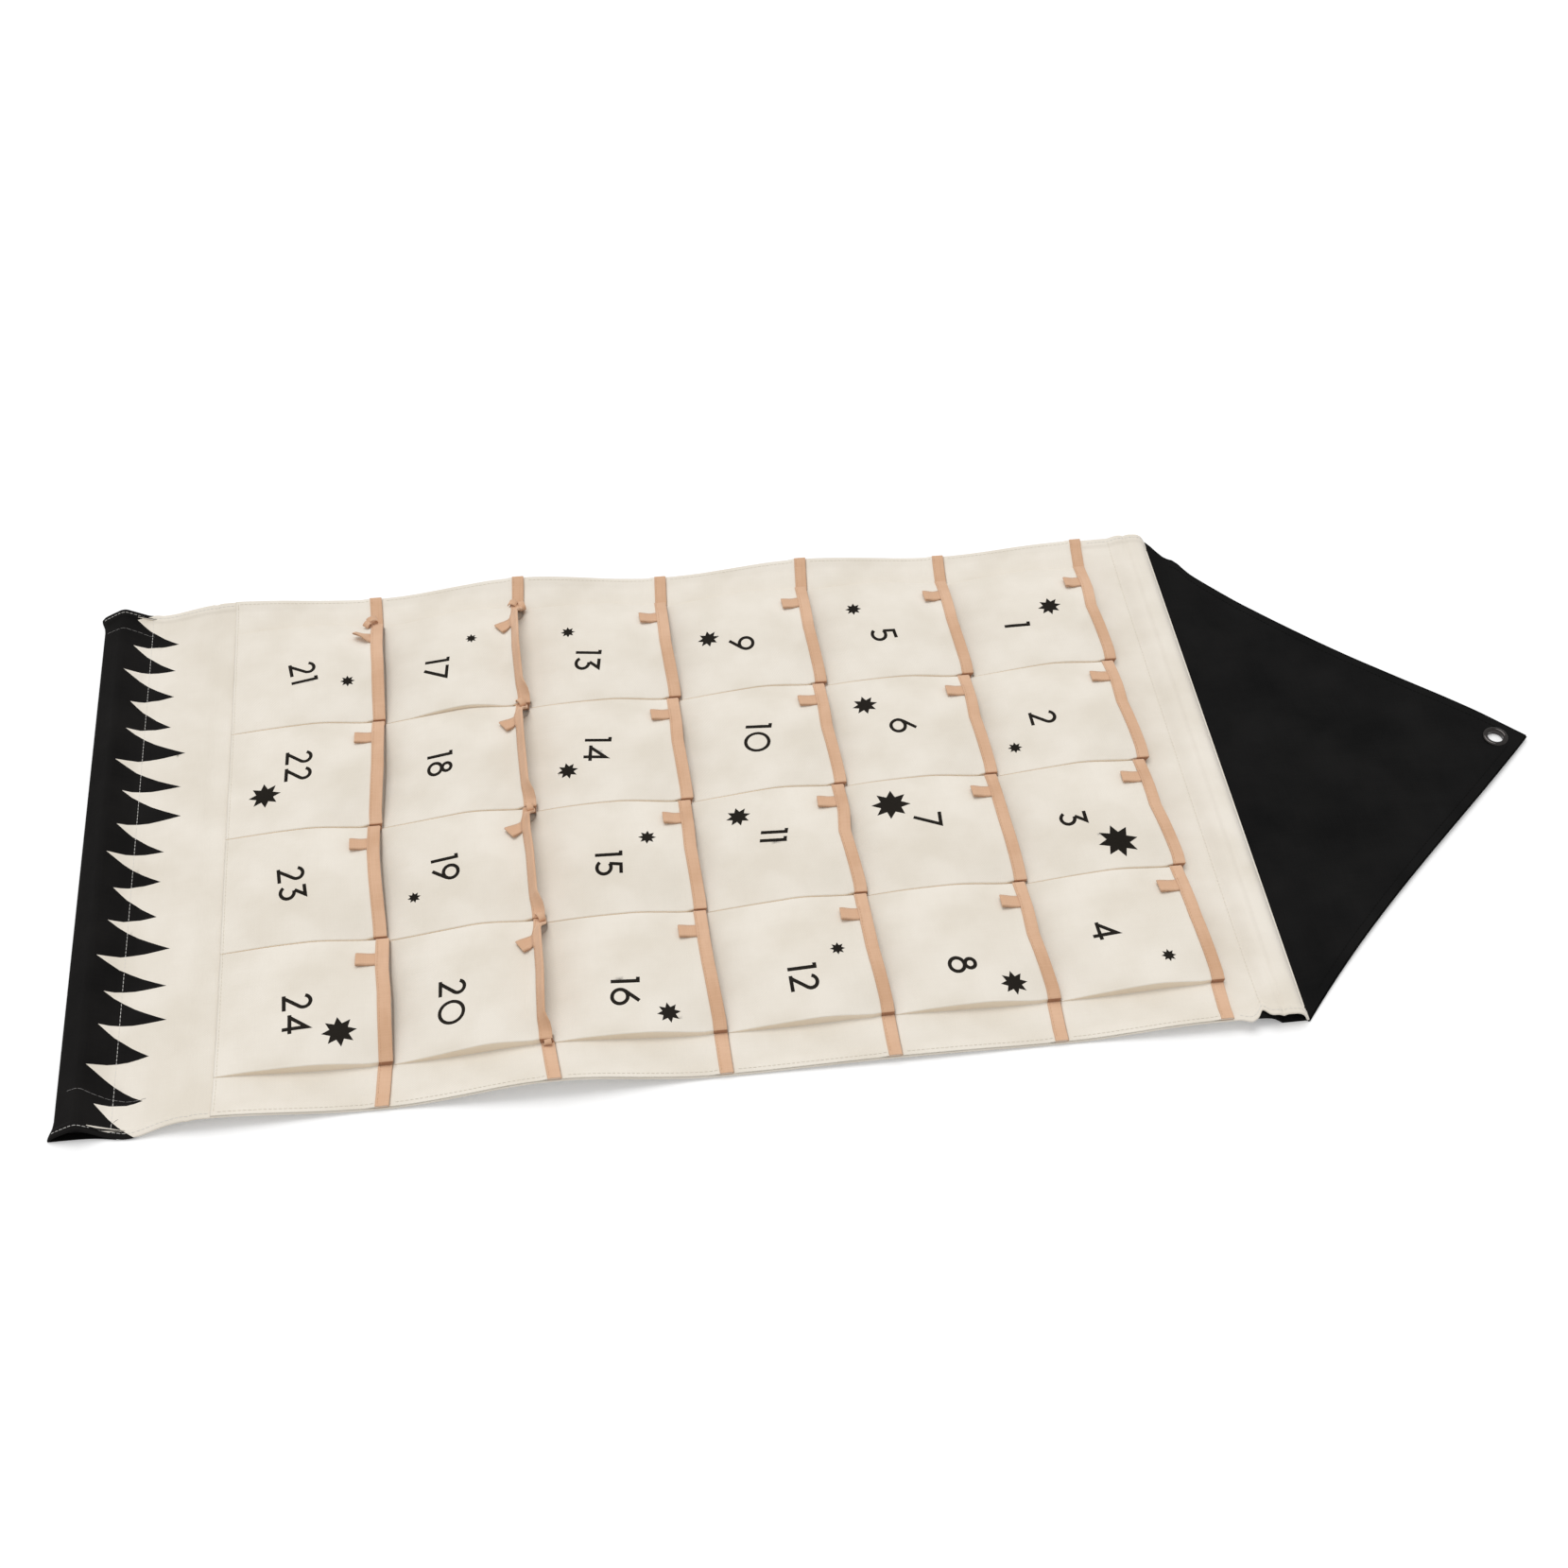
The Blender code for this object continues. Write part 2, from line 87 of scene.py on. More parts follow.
# How far the flap's left edge is moved in as well, near the fold, past the middle and at the tip, and where it kinks
FLAP_LEFT_INS = (0.0050, 0.0022, 0.0012)
FLAP_KINK = 0.078
FLAP_DRIFT = 0.0035
EYELET_FROM_TIP = 0.0215
EYELET_LIFT = 0.0022

TOTAL_LENGTH = FLAP_HEIGHT + TOP_BAND + (ROWS - 1) * ROW_PITCH + BOTTOM_BAND
BOTTOM_Y = -TOTAL_LENGTH / 2
FOLD_Y = TOTAL_LENGTH / 2 - FLAP_HEIGHT
FIRST_ROW_Y = FOLD_Y - TOP_BAND
TOP_STITCH_Y = FOLD_Y - TOP_TUNNEL
BOTTOM_STITCH_Y = BOTTOM_Y + BOTTOM_TUNNEL
POCKET_WIDTH = (PANEL_WIDTH - 2 * SIDE_MARGIN) / COLUMNS
ARCH_RADIUS = ROD_RADIUS + 0.0005 + CANVAS / 2
ROD_Z = CANVAS + CLEARANCE + ROD_RADIUS
TOP_ROD_Y = FOLD_Y - TOP_ROD_BACK
BOTTOM_ROD_Y = BOTTOM_Y + BOTTOM_ROD_UP
UPPER_LAYER = CANVAS + CLEARANCE + CANVAS / 2
EYELET_X = FLAP_DRIFT * (1 - EYELET_FROM_TIP / FLAP_HEIGHT)
EYELET_Y = TOTAL_LENGTH / 2 - EYELET_FROM_TIP
HALF = PANEL_WIDTH / 2

# Sewing, print and tape
HEM = 0.005
FLAP_HEM = 0.0085
HEM_STEP = 0.0009
NUMERAL_HEIGHT = 0.0184
STROKE = 0.130
STEM_STROKE = 0.148
WIDEN = 1.13
WIDENED = "23456789"
STAR_WAIST = 0.56
TAPE_GAP = 0.0001
SEAM_GAP = 0.00006

# How far each pocket's mouth lies up the calendar from its row's line, in mm: at its left end, middle and right end
MOUTH_STARTS = (
    (-3.6, -3.6, -3.6, -1.0), (-3.4, -3.6, -2.3, -1.7), (-3.6, -3.6, -3.6, -2.5),
    (-2.6, -2.6, -3.6, -3.0), (-2.3, -3.6, -3.6, -1.4), (1.3, 1.4, -2.3, 2.8),
)
MOUTH_MIDDLES = (
    (-5.3, -4.6, -3.9, -0.7), (-3.5, -4.6, -1.9, -2.3), (-4.0, -4.3, -5.8, -2.2),
    (-2.8, -3.3, -4.1, -2.4), (-2.6, -3.4, -2.4, -1.2), (2.0, 1.3, -1.4, 4.0),
)
MOUTH_ENDS = (
    (-0.7, 0.5, 2.2, 3.0), (0.0, -1.1, 0.1, 2.5), (-1.3, -1.2, -1.6, 0.9),
    (-0.5, -1.4, -2.3, 0.4), (-1.6, -2.4, -1.9, -2.7), (2.1, -0.9, 1.2, 4.1),
)
# The row whose mouths stand up, in degrees, and how far the cloth below it goes on under them
OPEN_ROW = 5
STAND = 57
OPEN_FOOT = 0.008
CREASE_FROM_SEAM = 0.011

# Loops of tape that stand on the seams: row, seam, radius, turn in degrees, and moves along and up the strip
TAPE_LOOPS = (
    (5, 0, 0.0029, 20, (0.000, 0.003)), (5, 0, 0.0021, 75, (0.009, -0.002)), (5, 1, 0.0024, 35, (0.010, 0.0)),
    (5, 2, 0.0022, 15, (0.011, 0.001)), (5, 3, 0.0024, 30, (0.010, 0.001)), (5, 4, 0.0017, 10, (0.006, 0.001)),
    (6, 0, 0.0027, 115, (0.010, -0.002)), (6, 0, 0.0019, 150, (0.013, -0.005)),
)
# Threads that lie across the black band at the foot, as places across and up the calendar in mm
BAND_THREADS = {
    "band_thread_left": ((-209.5, -495.5), (-206.5, -485.6), (-206, -477), (-205.5, -469.5), (-202, -457.5)),
    "band_thread_right": ((193, -490.4), (195, -481), (197, -475), (198, -468), (199.5, -455), (199, -441)),
    "band_thread_end": ((211, -459), (215, -463), (219, -463.5), (224, -461)),
}
# The tab that is twisted, by how many degrees, and how much narrower it looks at its end
TWISTED_TAB = 21
TWIST = 27
TWIST_TAPER = 0.55

# Place of each numeral and star: across in pocket widths from the left seam, down in row pitches, star size in mm
NUMERALS = (
    (0.577, 0.584), (0.544, 0.587), (0.521, 0.574), (0.518, 0.567), (0.580, 0.524), (0.517, 0.533),
    (0.431, 0.507), (0.693, 0.492), (0.563, 0.507), (0.526, 0.505), (0.447, 0.500), (0.682, 0.462),
    (0.607, 0.566), (0.509, 0.561), (0.579, 0.558), (0.667, 0.537), (0.580, 0.588), (0.518, 0.587),
    (0.487, 0.574), (0.616, 0.565), (0.503, 0.481), (0.419, 0.499), (0.500, 0.525), (0.597, 0.473),
)
# How far each numeral is turned from upright, in degrees
TURNS = (-8, -3, -3, 0, 2, -2, -2, -1, -8, -11, -9, -3, -11, -8, -5, -6, -7, -1, 1, -3, 8, -1, 4, 1)
STARS = {
    1: (0.443, 0.335, 17.4), 2: (0.775, 0.813, 10), 3: (0.776, 0.334, 27), 4: (0.791, 0.235, 9.6),
    5: (0.278, 0.695, 12), 6: (0.264, 0.750, 18), 7: (0.243, 0.717, 26.4), 8: (0.870, 0.204, 17.3),
    9: (0.451, 0.727, 15.8), 11: (0.221, 0.705, 16.9), 12: (0.494, 0.232, 10), 13: (0.295, 0.684, 10.6),
    14: (0.683, 0.765, 14.5), 15: (0.380, 0.302, 12.3), 16: (0.860, 0.290, 14.9), 17: (0.331, 0.343, 9),
    19: (0.685, 0.777, 9.2), 21: (0.635, 0.184, 10.3), 22: (0.661, 0.715, 22), 24: (0.771, 0.227, 21.3),
}

BEND_ANGLES = np.radians([30, 60, 90, 120, 150])
SIDES = ((-1, "left"), (1, "right"))
# A stitch along its length: share of the length, height and thickness in radii
STITCH_SHAPE = ((0, -0.6, 0.55), (0.12, 0.35, 0.9), (0.5, 0.75, 1.0), (0.88, 0.35, 0.9), (1, -0.6, 0.55))

CAMERA_LENS = 51.72
CAMERA_PLACE = (1.012776, -0.174275, 1.151775)
CAMERA_RIGHT = (0.125980, 0.991914, 0.015371)
CAMERA_UP = (-0.739309, 0.083544, 0.668163)
CAMERA_BACK = (0.661476, -0.095539, 0.743856)
KEY_WAY = (0.34, 0.12, -0.93)
KEY_STRENGTH = 1.35
KEY_ANGLE = 45
WORLD_STRENGTH = 0.61
FLOOR_GLOW = 0.22


def smooth(value):
    value = np.clip(value, 0, 1)
    return value * value * (3 - 2 * value)


def hump(value, at, width, size=1.0):
    """A bell of this size about a place."""
    return size * np.exp(-(((value - at) / width) ** 2))


def unit(vectors):
    return vectors / np.linalg.norm(vectors, axis=1, keepdims=True)


def run_lengths(points):
    """How far along a polyline each of its points lies."""
    return np.concatenate([[0], np.cumsum(np.linalg.norm(np.diff(points, axis=0), axis=1))])


def locate(places, starts, spans):
    """The span that each place lies in, and its share of that span."""
    segment = np.clip(np.searchsorted(starts, places, "right") - 1, 0, len(spans) - 1)
    return segment, np.clip((places - starts[segment]) / spans[segment], 0, 1)


def as_floats(*values):
    return (np.asarray(value, float) for value in np.broadcast_arrays(*values))


def lattice_noise(x, y, size, seed):
    """Smooth noise from 0 to 1 with features of this size."""
    table = np.random.default_rng(seed).random((64, 64))
    x, y = np.asarray(x) / size + 17.3, np.asarray(y) / size + 31.7
    i, j = np.floor(x).astype(int), np.floor(y).astype(int)
    u, v = smooth(x - i), smooth(y - j)
    a, b = table[i % 64, j % 64], table[(i + 1) % 64, j % 64]
    c, d = table[i % 64, (j + 1) % 64], table[(i + 1) % 64, (j + 1) % 64]
    return (a * (1 - u) + b * u) * (1 - v) + (c * (1 - u) + d * u) * v


def row_y(row):
    return FIRST_ROW_Y - (row - 1) * ROW_PITCH


def seam_x(seam):
    return -HALF + SIDE_MARGIN + seam * POCKET_WIDTH


def ridge_share(row, y):
    away = y - row_y(row)
    down = ROW_PITCH if row <= ROWS else row_y(row) - BOTTOM_STITCH_Y - SEAM_ALLOWANCE
    reach = np.where(away < 0, down, ROW_PITCH)
    share = (1 + np.cos(np.pi * np.minimum(np.abs(away) / reach, 1))) / 2
    if row > 1:
        return share
    rod_side = TOP_ROD_Y - ROD_RADIUS - row_y(row)
    above = np.maximum(0, 1 - (np.maximum(away, 0) / rod_side) ** RIDGE_END_POWER)
    return np.where(away > 0, above, share)


def crumple(x, y):
    """Gentle unevenness of ironed canvas, none at the tunnels."""
    calm = smooth((y - BOTTOM_STITCH_Y - 0.008) / 0.03) * smooth((TOP_STITCH_Y - 0.004 - y) / 0.02)
    wide = lattice_noise(x, y, 0.055, 1)
    fine = lattice_noise(x, y, 0.017, 2)
    return calm * (0.0007 * wide + 0.00025 * fine)


def ground(x, y):
    """Height of the panel's underside above the table."""
    x, y = np.broadcast_arrays(np.asarray(x, float), np.asarray(y, float))
    edge = np.abs(2 * np.clip(x, -HALF, HALF) / PANEL_WIDTH) ** CURL_POWER
    height = np.zeros_like(x)
    for i, row in enumerate(range(1, ROWS + 2, 2)):
        curl = np.where(x < 0, LEFT_CURLS[i], RIGHT_CURLS[i])
        height += SIDE_CURL * (MIDDLE_LIFTS[i] + edge * (curl - MIDDLE_LIFTS[i])) * ridge_share(row, y)
    return height + crumple(x, y)


def hem_lift(x):
    """The side hem's extra layer raises what lies on it."""
    return HEM_STEP * smooth((np.abs(x) - (HALF - HEM - 0.003)) / 0.0025)


def drape(x, y, above):
    """Points that lie this far above the panel's underside."""
    x, y, above = np.broadcast_arrays(x, y, above)
    return np.stack([x, y, ground(x, y) + above], -1)


def along(sections, segment, part, radius):
    """Points and normals on polylines with rounded corners: one polyline, segment and share of it for each point."""
    i = np.arange(len(segment))
    steps = np.diff(sections, axis=1)
    lengths = np.maximum(np.linalg.norm(steps, axis=2), 1e-9)
    ways = steps / lengths[..., None]
    round_off = np.zeros(sections.shape[:2])
    round_off[:, 1:-1] = np.minimum(radius, 0.48 * np.minimum(lengths[:, :-1], lengths[:, 1:]))
    here = lengths[i, segment]
    points = sections[i, segment] + ways[i, segment] * (part * here)[:, None]
    tangents = ways[i, segment].copy()
    for corner, away, sign in ((segment, part * here, 1), (segment + 1, (1 - part) * here, -1)):
        size = round_off[i, corner]
        near = (away < size) & (size > 0)
        if not near.any():
            continue
        j, c, r = i[near], corner[near], size[near][:, None]
        t = (0.5 + sign * 0.5 * away[near] / size[near])[:, None]
        middle = sections[j, c]
        first, last = middle - ways[j, c - 1] * r, middle + ways[j, c] * r
        points[near] = (1 - t) ** 2 * first + 2 * t * (1 - t) * middle + t**2 * last
        tangent = (1 - t) * (middle - first) + t * (last - middle)
        tangents[near] = tangent / np.linalg.norm(tangent, axis=1, keepdims=True)
    return points, np.stack([-tangents[:, 1], tangents[:, 0]], 1)


# With a thickness, the back of each face takes the material before its own in the list
def new_mesh(name, points, faces, materials, uv=None, ids=None, thickness=None, smooth_angle=None, turn_out=False):
    data = bpy.data.meshes.new(name)
    data.from_pydata([tuple(p) for p in np.asarray(points, float)], [], [tuple(int(v) for v in f) for f in faces])
    for material in materials:
        data.materials.append(material)
    if ids is not None:
        data.polygons.foreach_set("material_index", np.asarray(ids, np.int32))
    if uv is not None:
        layer = data.uv_layers.new(name="cloth")
        loops = np.empty(len(data.loops), np.int32)
        data.loops.foreach_get("vertex_index", loops)
        layer.data.foreach_set("uv", np.asarray(uv, np.float32)[loops].ravel())
    if turn_out:
        shape = bmesh.new()
        shape.from_mesh(data)
        bmesh.ops.recalc_face_normals(shape, faces=shape.faces)
        shape.to_mesh(data)
        shape.free()
    data.shade_smooth()
    if smooth_angle:
        data.set_sharp_from_angle(angle=math.radians(smooth_angle))
    data.update()
    obj = bpy.data.objects.new(name, data)
    bpy.context.scene.collection.objects.link(obj)
    if thickness:
        solid = obj.modifiers.new("thickness", "SOLIDIFY")
        solid.thickness = thickness
        solid.offset = 0
        solid.material_offset = -1
    return obj


def grid_faces(rows, columns, start=0):
    index = start + np.arange(rows * columns).reshape(rows, columns)
    a, b, c, d = index[:-1, :-1], index[1:, :-1], index[1:, 1:], index[:-1, 1:]
    return np.stack([a.ravel(), b.ravel(), c.ravel(), d.ravel()], 1)


def triangulate(points, outlines):
    """Triangles over flat points (in mm) and closed outlines, with the outlines that each lies in."""
    verts = [Vector(p) for p in points]
    faces = []
    for outline in outlines:
        x, y = outline[:, 0], outline[:, 1]
        if (x * np.roll(y, -1) - y * np.roll(x, -1)).sum() < 0:
            outline = outline[::-1]
        faces.append(list(range(len(verts), len(verts) + len(outline))))
        verts += [Vector(p) for p in outline]
    found = delaunay_2d_cdt(verts, [], faces, 0, 1e-5, True)
    flat = np.array([tuple(p) for p in found[0]])
    return flat, found[2], [set(inside) for inside in found[5]]


def outlines_of(shape):
    """A shape is an outline, or a pair of an outline and its hole."""
    return shape if isinstance(shape, tuple) else (shape,)


def stroke(points, width=STROKE):
    """Outline of a line with square ends and mitred corners."""
    points = np.array(points, float)
    ways = unit(np.diff(points, axis=0))
    before = np.vstack([ways[:1], ways])
    after = np.vstack([ways, ways[-1:]])
    side = np.stack([-(before + after)[:, 1], (before + after)[:, 0]], 1)
    side *= width / 2 / (1 + (before * after).sum(1, keepdims=True))
    return np.vstack([points + side, (points - side)[::-1]])


def arc(centre, radius, start, end, steps=18):
    angles = np.radians(np.linspace(start, end, steps + 1))
    return [(centre[0] + radius * math.cos(a), centre[1] + radius * math.sin(a)) for a in angles]


def ring(centre, radius):
    outer = arc(centre, radius, 0, 360, 36)[:-1]
    inner = arc(centre, radius - STROKE, 0, 360, 36)[:-1]
    return (np.array(outer), np.array(inner))


def digit(character):
    """(width, shapes) in heights."""
    s = STROKE / 2
    if character == "0":
        return 1.0, [ring((0.5, 0.5), 0.5)]
    if character == "1":
        stem = 0.24 - STEM_STROKE / 2
        return 0.24, [stroke([(stem, 0), (stem, 1)], STEM_STROKE), stroke([(0, 1 - s), (stem, 1 - s)])]
    if character == "2":
        top = arc((0.29, 0.71), 0.29 - s, 165, -35)
        return 0.58, [stroke([*top, (s * 1.4, s)]), stroke([(0.0, s), (0.58, s)])]
    if character == "3":
        body = arc((0.27, 0.31), 0.31 - s, 102, -150, 24)
        return 0.56, [stroke([(0.04, 1 - s), (0.46, 1 - s), (0.205, 0.575)]), stroke(body)]
    if character == "4":
        return 0.70, [stroke([(0.52, 0), (0.52, 0.81), (0.09, 0.25)]), stroke([(0.0, 0.25), (0.70, 0.25)])]
    if character == "5":
        body = arc((0.27, 0.32), 0.32 - s, 127, -145, 24)
        return 0.59, [stroke([(0.52, 1 - s), (0.16, 1 - s), (0.12, 0.52)]), stroke(body)]
    if character in "69":
        radius = 0.33
        shapes = [ring((radius, radius), radius), stroke([(0.114, 0.496), (0.49, 0.987)])]
        if character == "9":
            shapes = [tuple(np.array([2 * radius, 1.0]) - o for o in outlines_of(shape)) for shape in shapes]
        return 2 * radius, shapes
    if character == "7":
        return 0.60, [stroke([(0.0, 1 - s), (0.55, 1 - s), (0.14, 0.0)])]
    small, large = 0.235, 0.315
    return 2 * large, [ring((large, large), large), ring((large, 1 - small), small)]


def numeral(text, centre, turn):
    """Shapes of a number round a centre, in metres, turned by this many radians."""
    drawn = [(*digit(character), WIDEN if character in WIDENED else 1) for character in text]
    gap = 0.14 if text == "11" else 0.2
    left = -(sum(wide * widen for wide, _, widen in drawn) + gap * (len(text) - 1)) / 2
    turned = NUMERAL_HEIGHT * np.array([[math.cos(turn), math.sin(turn)], [-math.sin(turn), math.cos(turn)]])
    shapes = []
    for wide, parts, widen in drawn:
        for shape in parts:
            placed = (np.asarray(outline) * [widen, 1] + [left, -0.5] for outline in outlines_of(shape))
            shapes.append([np.array(centre) + outline @ turned for outline in placed])
        left += wide * widen + gap
    return shapes


def star(centre, size, turn):
    reaches = [size / 2 * (STAR_WAIST if k % 2 else 1) for k in range(16)]
    angles = [turn + math.pi * k / 8 for k in range(16)]
    points = [(centre[0] + r * math.cos(a), centre[1] + r * math.sin(a)) for r, a in zip(reaches, angles)]
    return [[np.array(points)]]


def printed_ids(inside, shapes):
    """1 for each triangle that lies in a shape and not in its hole."""
    ids = np.zeros(len(inside), int)
    number = 0
    for outlines in shapes:
        holes = set(range(number + 1, number + len(outlines)))
        for k, found in enumerate(inside):
            if number in found and not found & holes:
                ids[k] = 1
        number += len(outlines)
    return ids


WALL_SPAN = 0.010
BRIDGE_SPAN = 0.002
SPANS = [SIDE_MARGIN]
for column in range(COLUMNS):
    SPANS += [WALL_SPAN, POCKET_WIDTH, WALL_SPAN]
    SPANS += [BRIDGE_SPAN] if column < COLUMNS - 1 else []
SPANS = np.array([*SPANS, SIDE_MARGIN])
STARTS = np.concatenate([[0], np.cumsum(SPANS)])
FACE_SEGMENTS = [2 + 4 * column for column in range(COLUMNS)]


def in_wall(q):
    """Whether places along a strip's cloth lie in a pocket's side walls or between two of them."""
    segment = np.clip(np.searchsorted(STARTS, q, "right") - 1, 1, len(SPANS) - 2)
    return (SPANS[segment] < POCKET_WIDTH / 2) & (q > STARTS[1]) & (q < STARTS[-2])


def strip_top(row):
    return row_y(row) + BINDING_WIDTH / 2 - TAPE - CLEARANCE


def strip_bottom(row):
    return row_y(row) - ROW_PITCH + BINDING_WIDTH / 2 + CLEARANCE


def fullness_at(row, y):
    low = row_y(row) - BINDING_WIDTH / 2
    share = np.clip((low - y) / (low - strip_bottom(row)), 0, 1)
    return 1 - share**2


def mouth_shift(row, q):
    """How far a strip's mouth lies up the calendar from its row's line, along its cloth."""
    if row > ROWS:
        return 0 * q
    places, shifts = [0], [0]
    for column in range(COLUMNS):
        start = STARTS[FACE_SEGMENTS[column]]
        first, middle, last = (line[row - 1][column] for line in (MOUTH_STARTS, MOUTH_MIDDLES, MOUTH_ENDS))
        places += [start + share * POCKET_WIDTH for share in (0, 0.3, 0.5, 0.93, 1)]
        shifts += [first, first, middle, last, last]
    return np.interp(q, [*places, STARTS[-1]], [*shifts, 1]) / 1000


def cloth_shift(row, q, y):
    """The shift at its mouth eases down a strip into that of the next mouth."""
    share = np.clip((row_y(row) - y) / ROW_PITCH, 0, 1)
    return (1 - share) * mouth_shift(row, q) + share * mouth_shift(row + 1, q)


def pocket_form(row, y):
    """Heights of the side walls and of the crown between them: a lens at the mouth, with higher walls below it."""
    full = fullness_at(row, y)
    depth = np.sqrt(1 - full)
    gape = POCKET_GAPE * (1 + (MOUTH_SHARES[row - 1] - 1) * (1 - depth) ** 2)
    wall = full * (0.35 + 0.55 * smooth(depth / 0.45))
    return gape * wall, POCKET_CROWN * full + (0.5 if row == OPEN_ROW else 0.85) * gape * (full - wall)


def strip_sections(row, y):
    """Cross-sections of a strip at each y, as (x, height over the panel's front) of the cloth's middle."""
    low = row_y(row) - BINDING_WIDTH / 2
    bound = smooth((y - low + 0.006) / 0.006)
    full = fullness_at(row, y)
    seat = CLEARANCE + CANVAS / 2 + bound * (TAPE + CLEARANCE)
    slot = CANVAS / 2 + SEAM_GAP + bound * (TAPE + TAPE_GAP + 0.0001)
    gape = seat + POCKET_LEAST_GAPE + pocket_form(row, y)[0]
    edge = np.full_like(y, HALF - 0.0004)
    columns = [(-edge, seat), (seam_x(0) + 0 * y, seat)]
    for column in range(COLUMNS):
        left = seam_x(column) + (slot if column else 0 * y)
        right = seam_x(column + 1) - (slot if column < COLUMNS - 1 else 0 * y)
        if column:
            columns.append((left, seat))
        drop = 0.0005 * full if column else 0
        rise = 0.0002 * full if column < COLUMNS - 1 else 0
        if (row, column) == (OPEN_ROW, 0):
            rise = rise + 0.0024 * np.sin(np.pi * np.clip((np.sqrt(1 - full) - 0.12) / 0.7, 0, 1))
        columns += [(left, gape - drop), (right, gape + rise), (right, seat)]
    columns.append((edge, seat))
    return np.stack([np.stack(pair, -1) for pair in columns], 1)


CORNERS = np.array([0.0012, 0.0006, 0.0006, 0.0012] * COLUMNS)


def stand_up(row, y, part):
    """The wide-open mouths of one row stand up: change along the calendar, rise, and lean of the cloth."""
    share = smooth((part - 0.02) / 0.12) * (1 - smooth((part - 0.85) / 0.11))
    lean = np.maximum(math.radians(STAND) * share if row == OPEN_ROW else 0 * y, 1e-4)
    bend = 0.006
    past = np.maximum(y - (row_y(row) - BINDING_WIDTH / 2 - 0.004), 0)
    angle = lean * np.minimum(past / bend, 1)
    straight = np.maximum(past - bend, 0)
    rise = bend / lean * (1 - np.cos(angle)) + straight * np.sin(lean)
    return bend / lean * np.sin(angle) + straight * np.cos(lean) - past, rise, angle


def strip_points(row, q, y, offset=0.0):
    """Points on a strip, q along its cloth from the left edge and y up the calendar, moved out by offset."""
    q, y, offset = as_floats(q, y, offset)
    segment, part = locate(q, STARTS, SPANS)
    full = fullness_at(row, y)
    points, normals = along(strip_sections(row, y), segment, part, CORNERS[None, :])
    face = np.isin(segment, FACE_SEGMENTS)
    bulge = 4 * part * (1 - part)
    wave = lattice_noise(points[:, 0], y, 0.030, 10 + row) - 0.5
    crease = hump(part * POCKET_WIDTH, CREASE_FROM_SEAM, 0.0010, 0.00018)
    lift = pocket_form(row, y)[1] * bulge - crease * np.minimum(1, full + 0.4)
    points[:, 1] += np.where(face, lift + 0.0011 * wave * full * np.minimum(1, 3 * bulge), 0)
    if row + 1 == OPEN_ROW:
        foot = smooth(1 - (y - strip_bottom(row)) / OPEN_FOOT) * smooth((bulge - 0.2) / 0.25)
        y = y - np.where(face, OPEN_FOOT * foot, 0)
    up, rise, lean = stand_up(row, y, np.where(face, part, 0))
    points[:, 0] += normals[:, 0] * offset
    points[:, 1] += rise + normals[:, 1] * offset * np.cos(lean)
    y = y + up - normals[:, 1] * offset * np.sin(lean) + cloth_shift(row, q, y)
    return drape(points[:, 0], y, CANVAS + points[:, 1] + hem_lift(points[:, 0]))


def strip_stations():
    """Where a strip is measured along its cloth, close together at its corners."""
    near = [0, 0.0003, 0.0006, 0.0010, 0.0016, 0.0024, 0.0040]
    found = []
    for start, span in zip(STARTS, SPANS):
        if span == WALL_SPAN:
            found += [start + span * f for f in (0, 0.1, 0.2, 0.35, 0.5, 0.65, 0.8, 0.9)]
        elif span == BRIDGE_SPAN:
            found += [start, start + span / 2]
        else:
            found += [start + d for d in near] + [start + span - d for d in near[1:]]
            inner = np.arange(0.007, span - 0.0055, 0.003)
            found += list(start + inner)
    found.append(STARTS[-1])
    return np.unique(np.round(found, 7))


def print_place(row, start, across, down):
    """Where a print lies on (q, distance down from the strip's top), from its place in the pocket."""
    q, y = start + across * POCKET_WIDTH, row_y(row) - down * ROW_PITCH
    return (q, float(y - cloth_shift(row, q, y)) - strip_top(row))


def strip_prints(row):
    """Outlines of a row's numerals and stars, on (q, distance down from the strip's top)."""
    shapes = []
    for column in range(COLUMNS):
        number = (row - 1) * COLUMNS + column + 1
        start = STARTS[FACE_SEGMENTS[column]]
        across, down = NUMERALS[number - 1]
        shapes += numeral(str(number), print_place(row, start, across, down), math.radians(TURNS[number - 1]))
        if number in STARS:
            across, down, size = STARS[number]
            place = print_place(row, start, across, down)
            shapes += star(place, size / 1000, 0.12 * math.sin(2.4 * number))
    return shapes


def make_strip(row, cloth, ink, fold):
    depth = strip_top(row) - strip_bottom(row)
    mouth = [0, 0.0015, 0.003, 0.005, 0.0065, 0.008, 0.0095]
    foot = [depth - 0.0025, depth - 0.0012, depth]
    downs = np.concatenate([mouth, np.arange(0.0125, depth - 0.004, 0.003), foot])
    grid = [(q * 1000, -d * 1000) for q in strip_stations() for d in downs]
    shapes = strip_prints(row)
    flat, faces, inside = triangulate(grid, [outline * 1000 for shape in shapes for outline in shape])
    q, down = flat[:, 0] / 1000, -flat[:, 1] / 1000
    middles = np.array([q[list(face)].mean() for face in faces])
    # Painted shade: faces in the pockets' side walls and between pockets take the warmer, darker fold material (3)
    ids = np.where(in_wall(middles) & (middles > STARTS[FACE_SEGMENTS[0]]), 3, printed_ids(inside, shapes))
    points = strip_points(row, q, strip_top(row) - down)
    return new_mesh(f"pocket_cloth_row_{row}", points, faces, [cloth, ink, cloth, fold], flat / 1000, ids, CANVAS)


def place_of(number):
    """Row and column of a pocket's number."""
    return (number - 1) // COLUMNS + 1, (number - 1) % COLUMNS


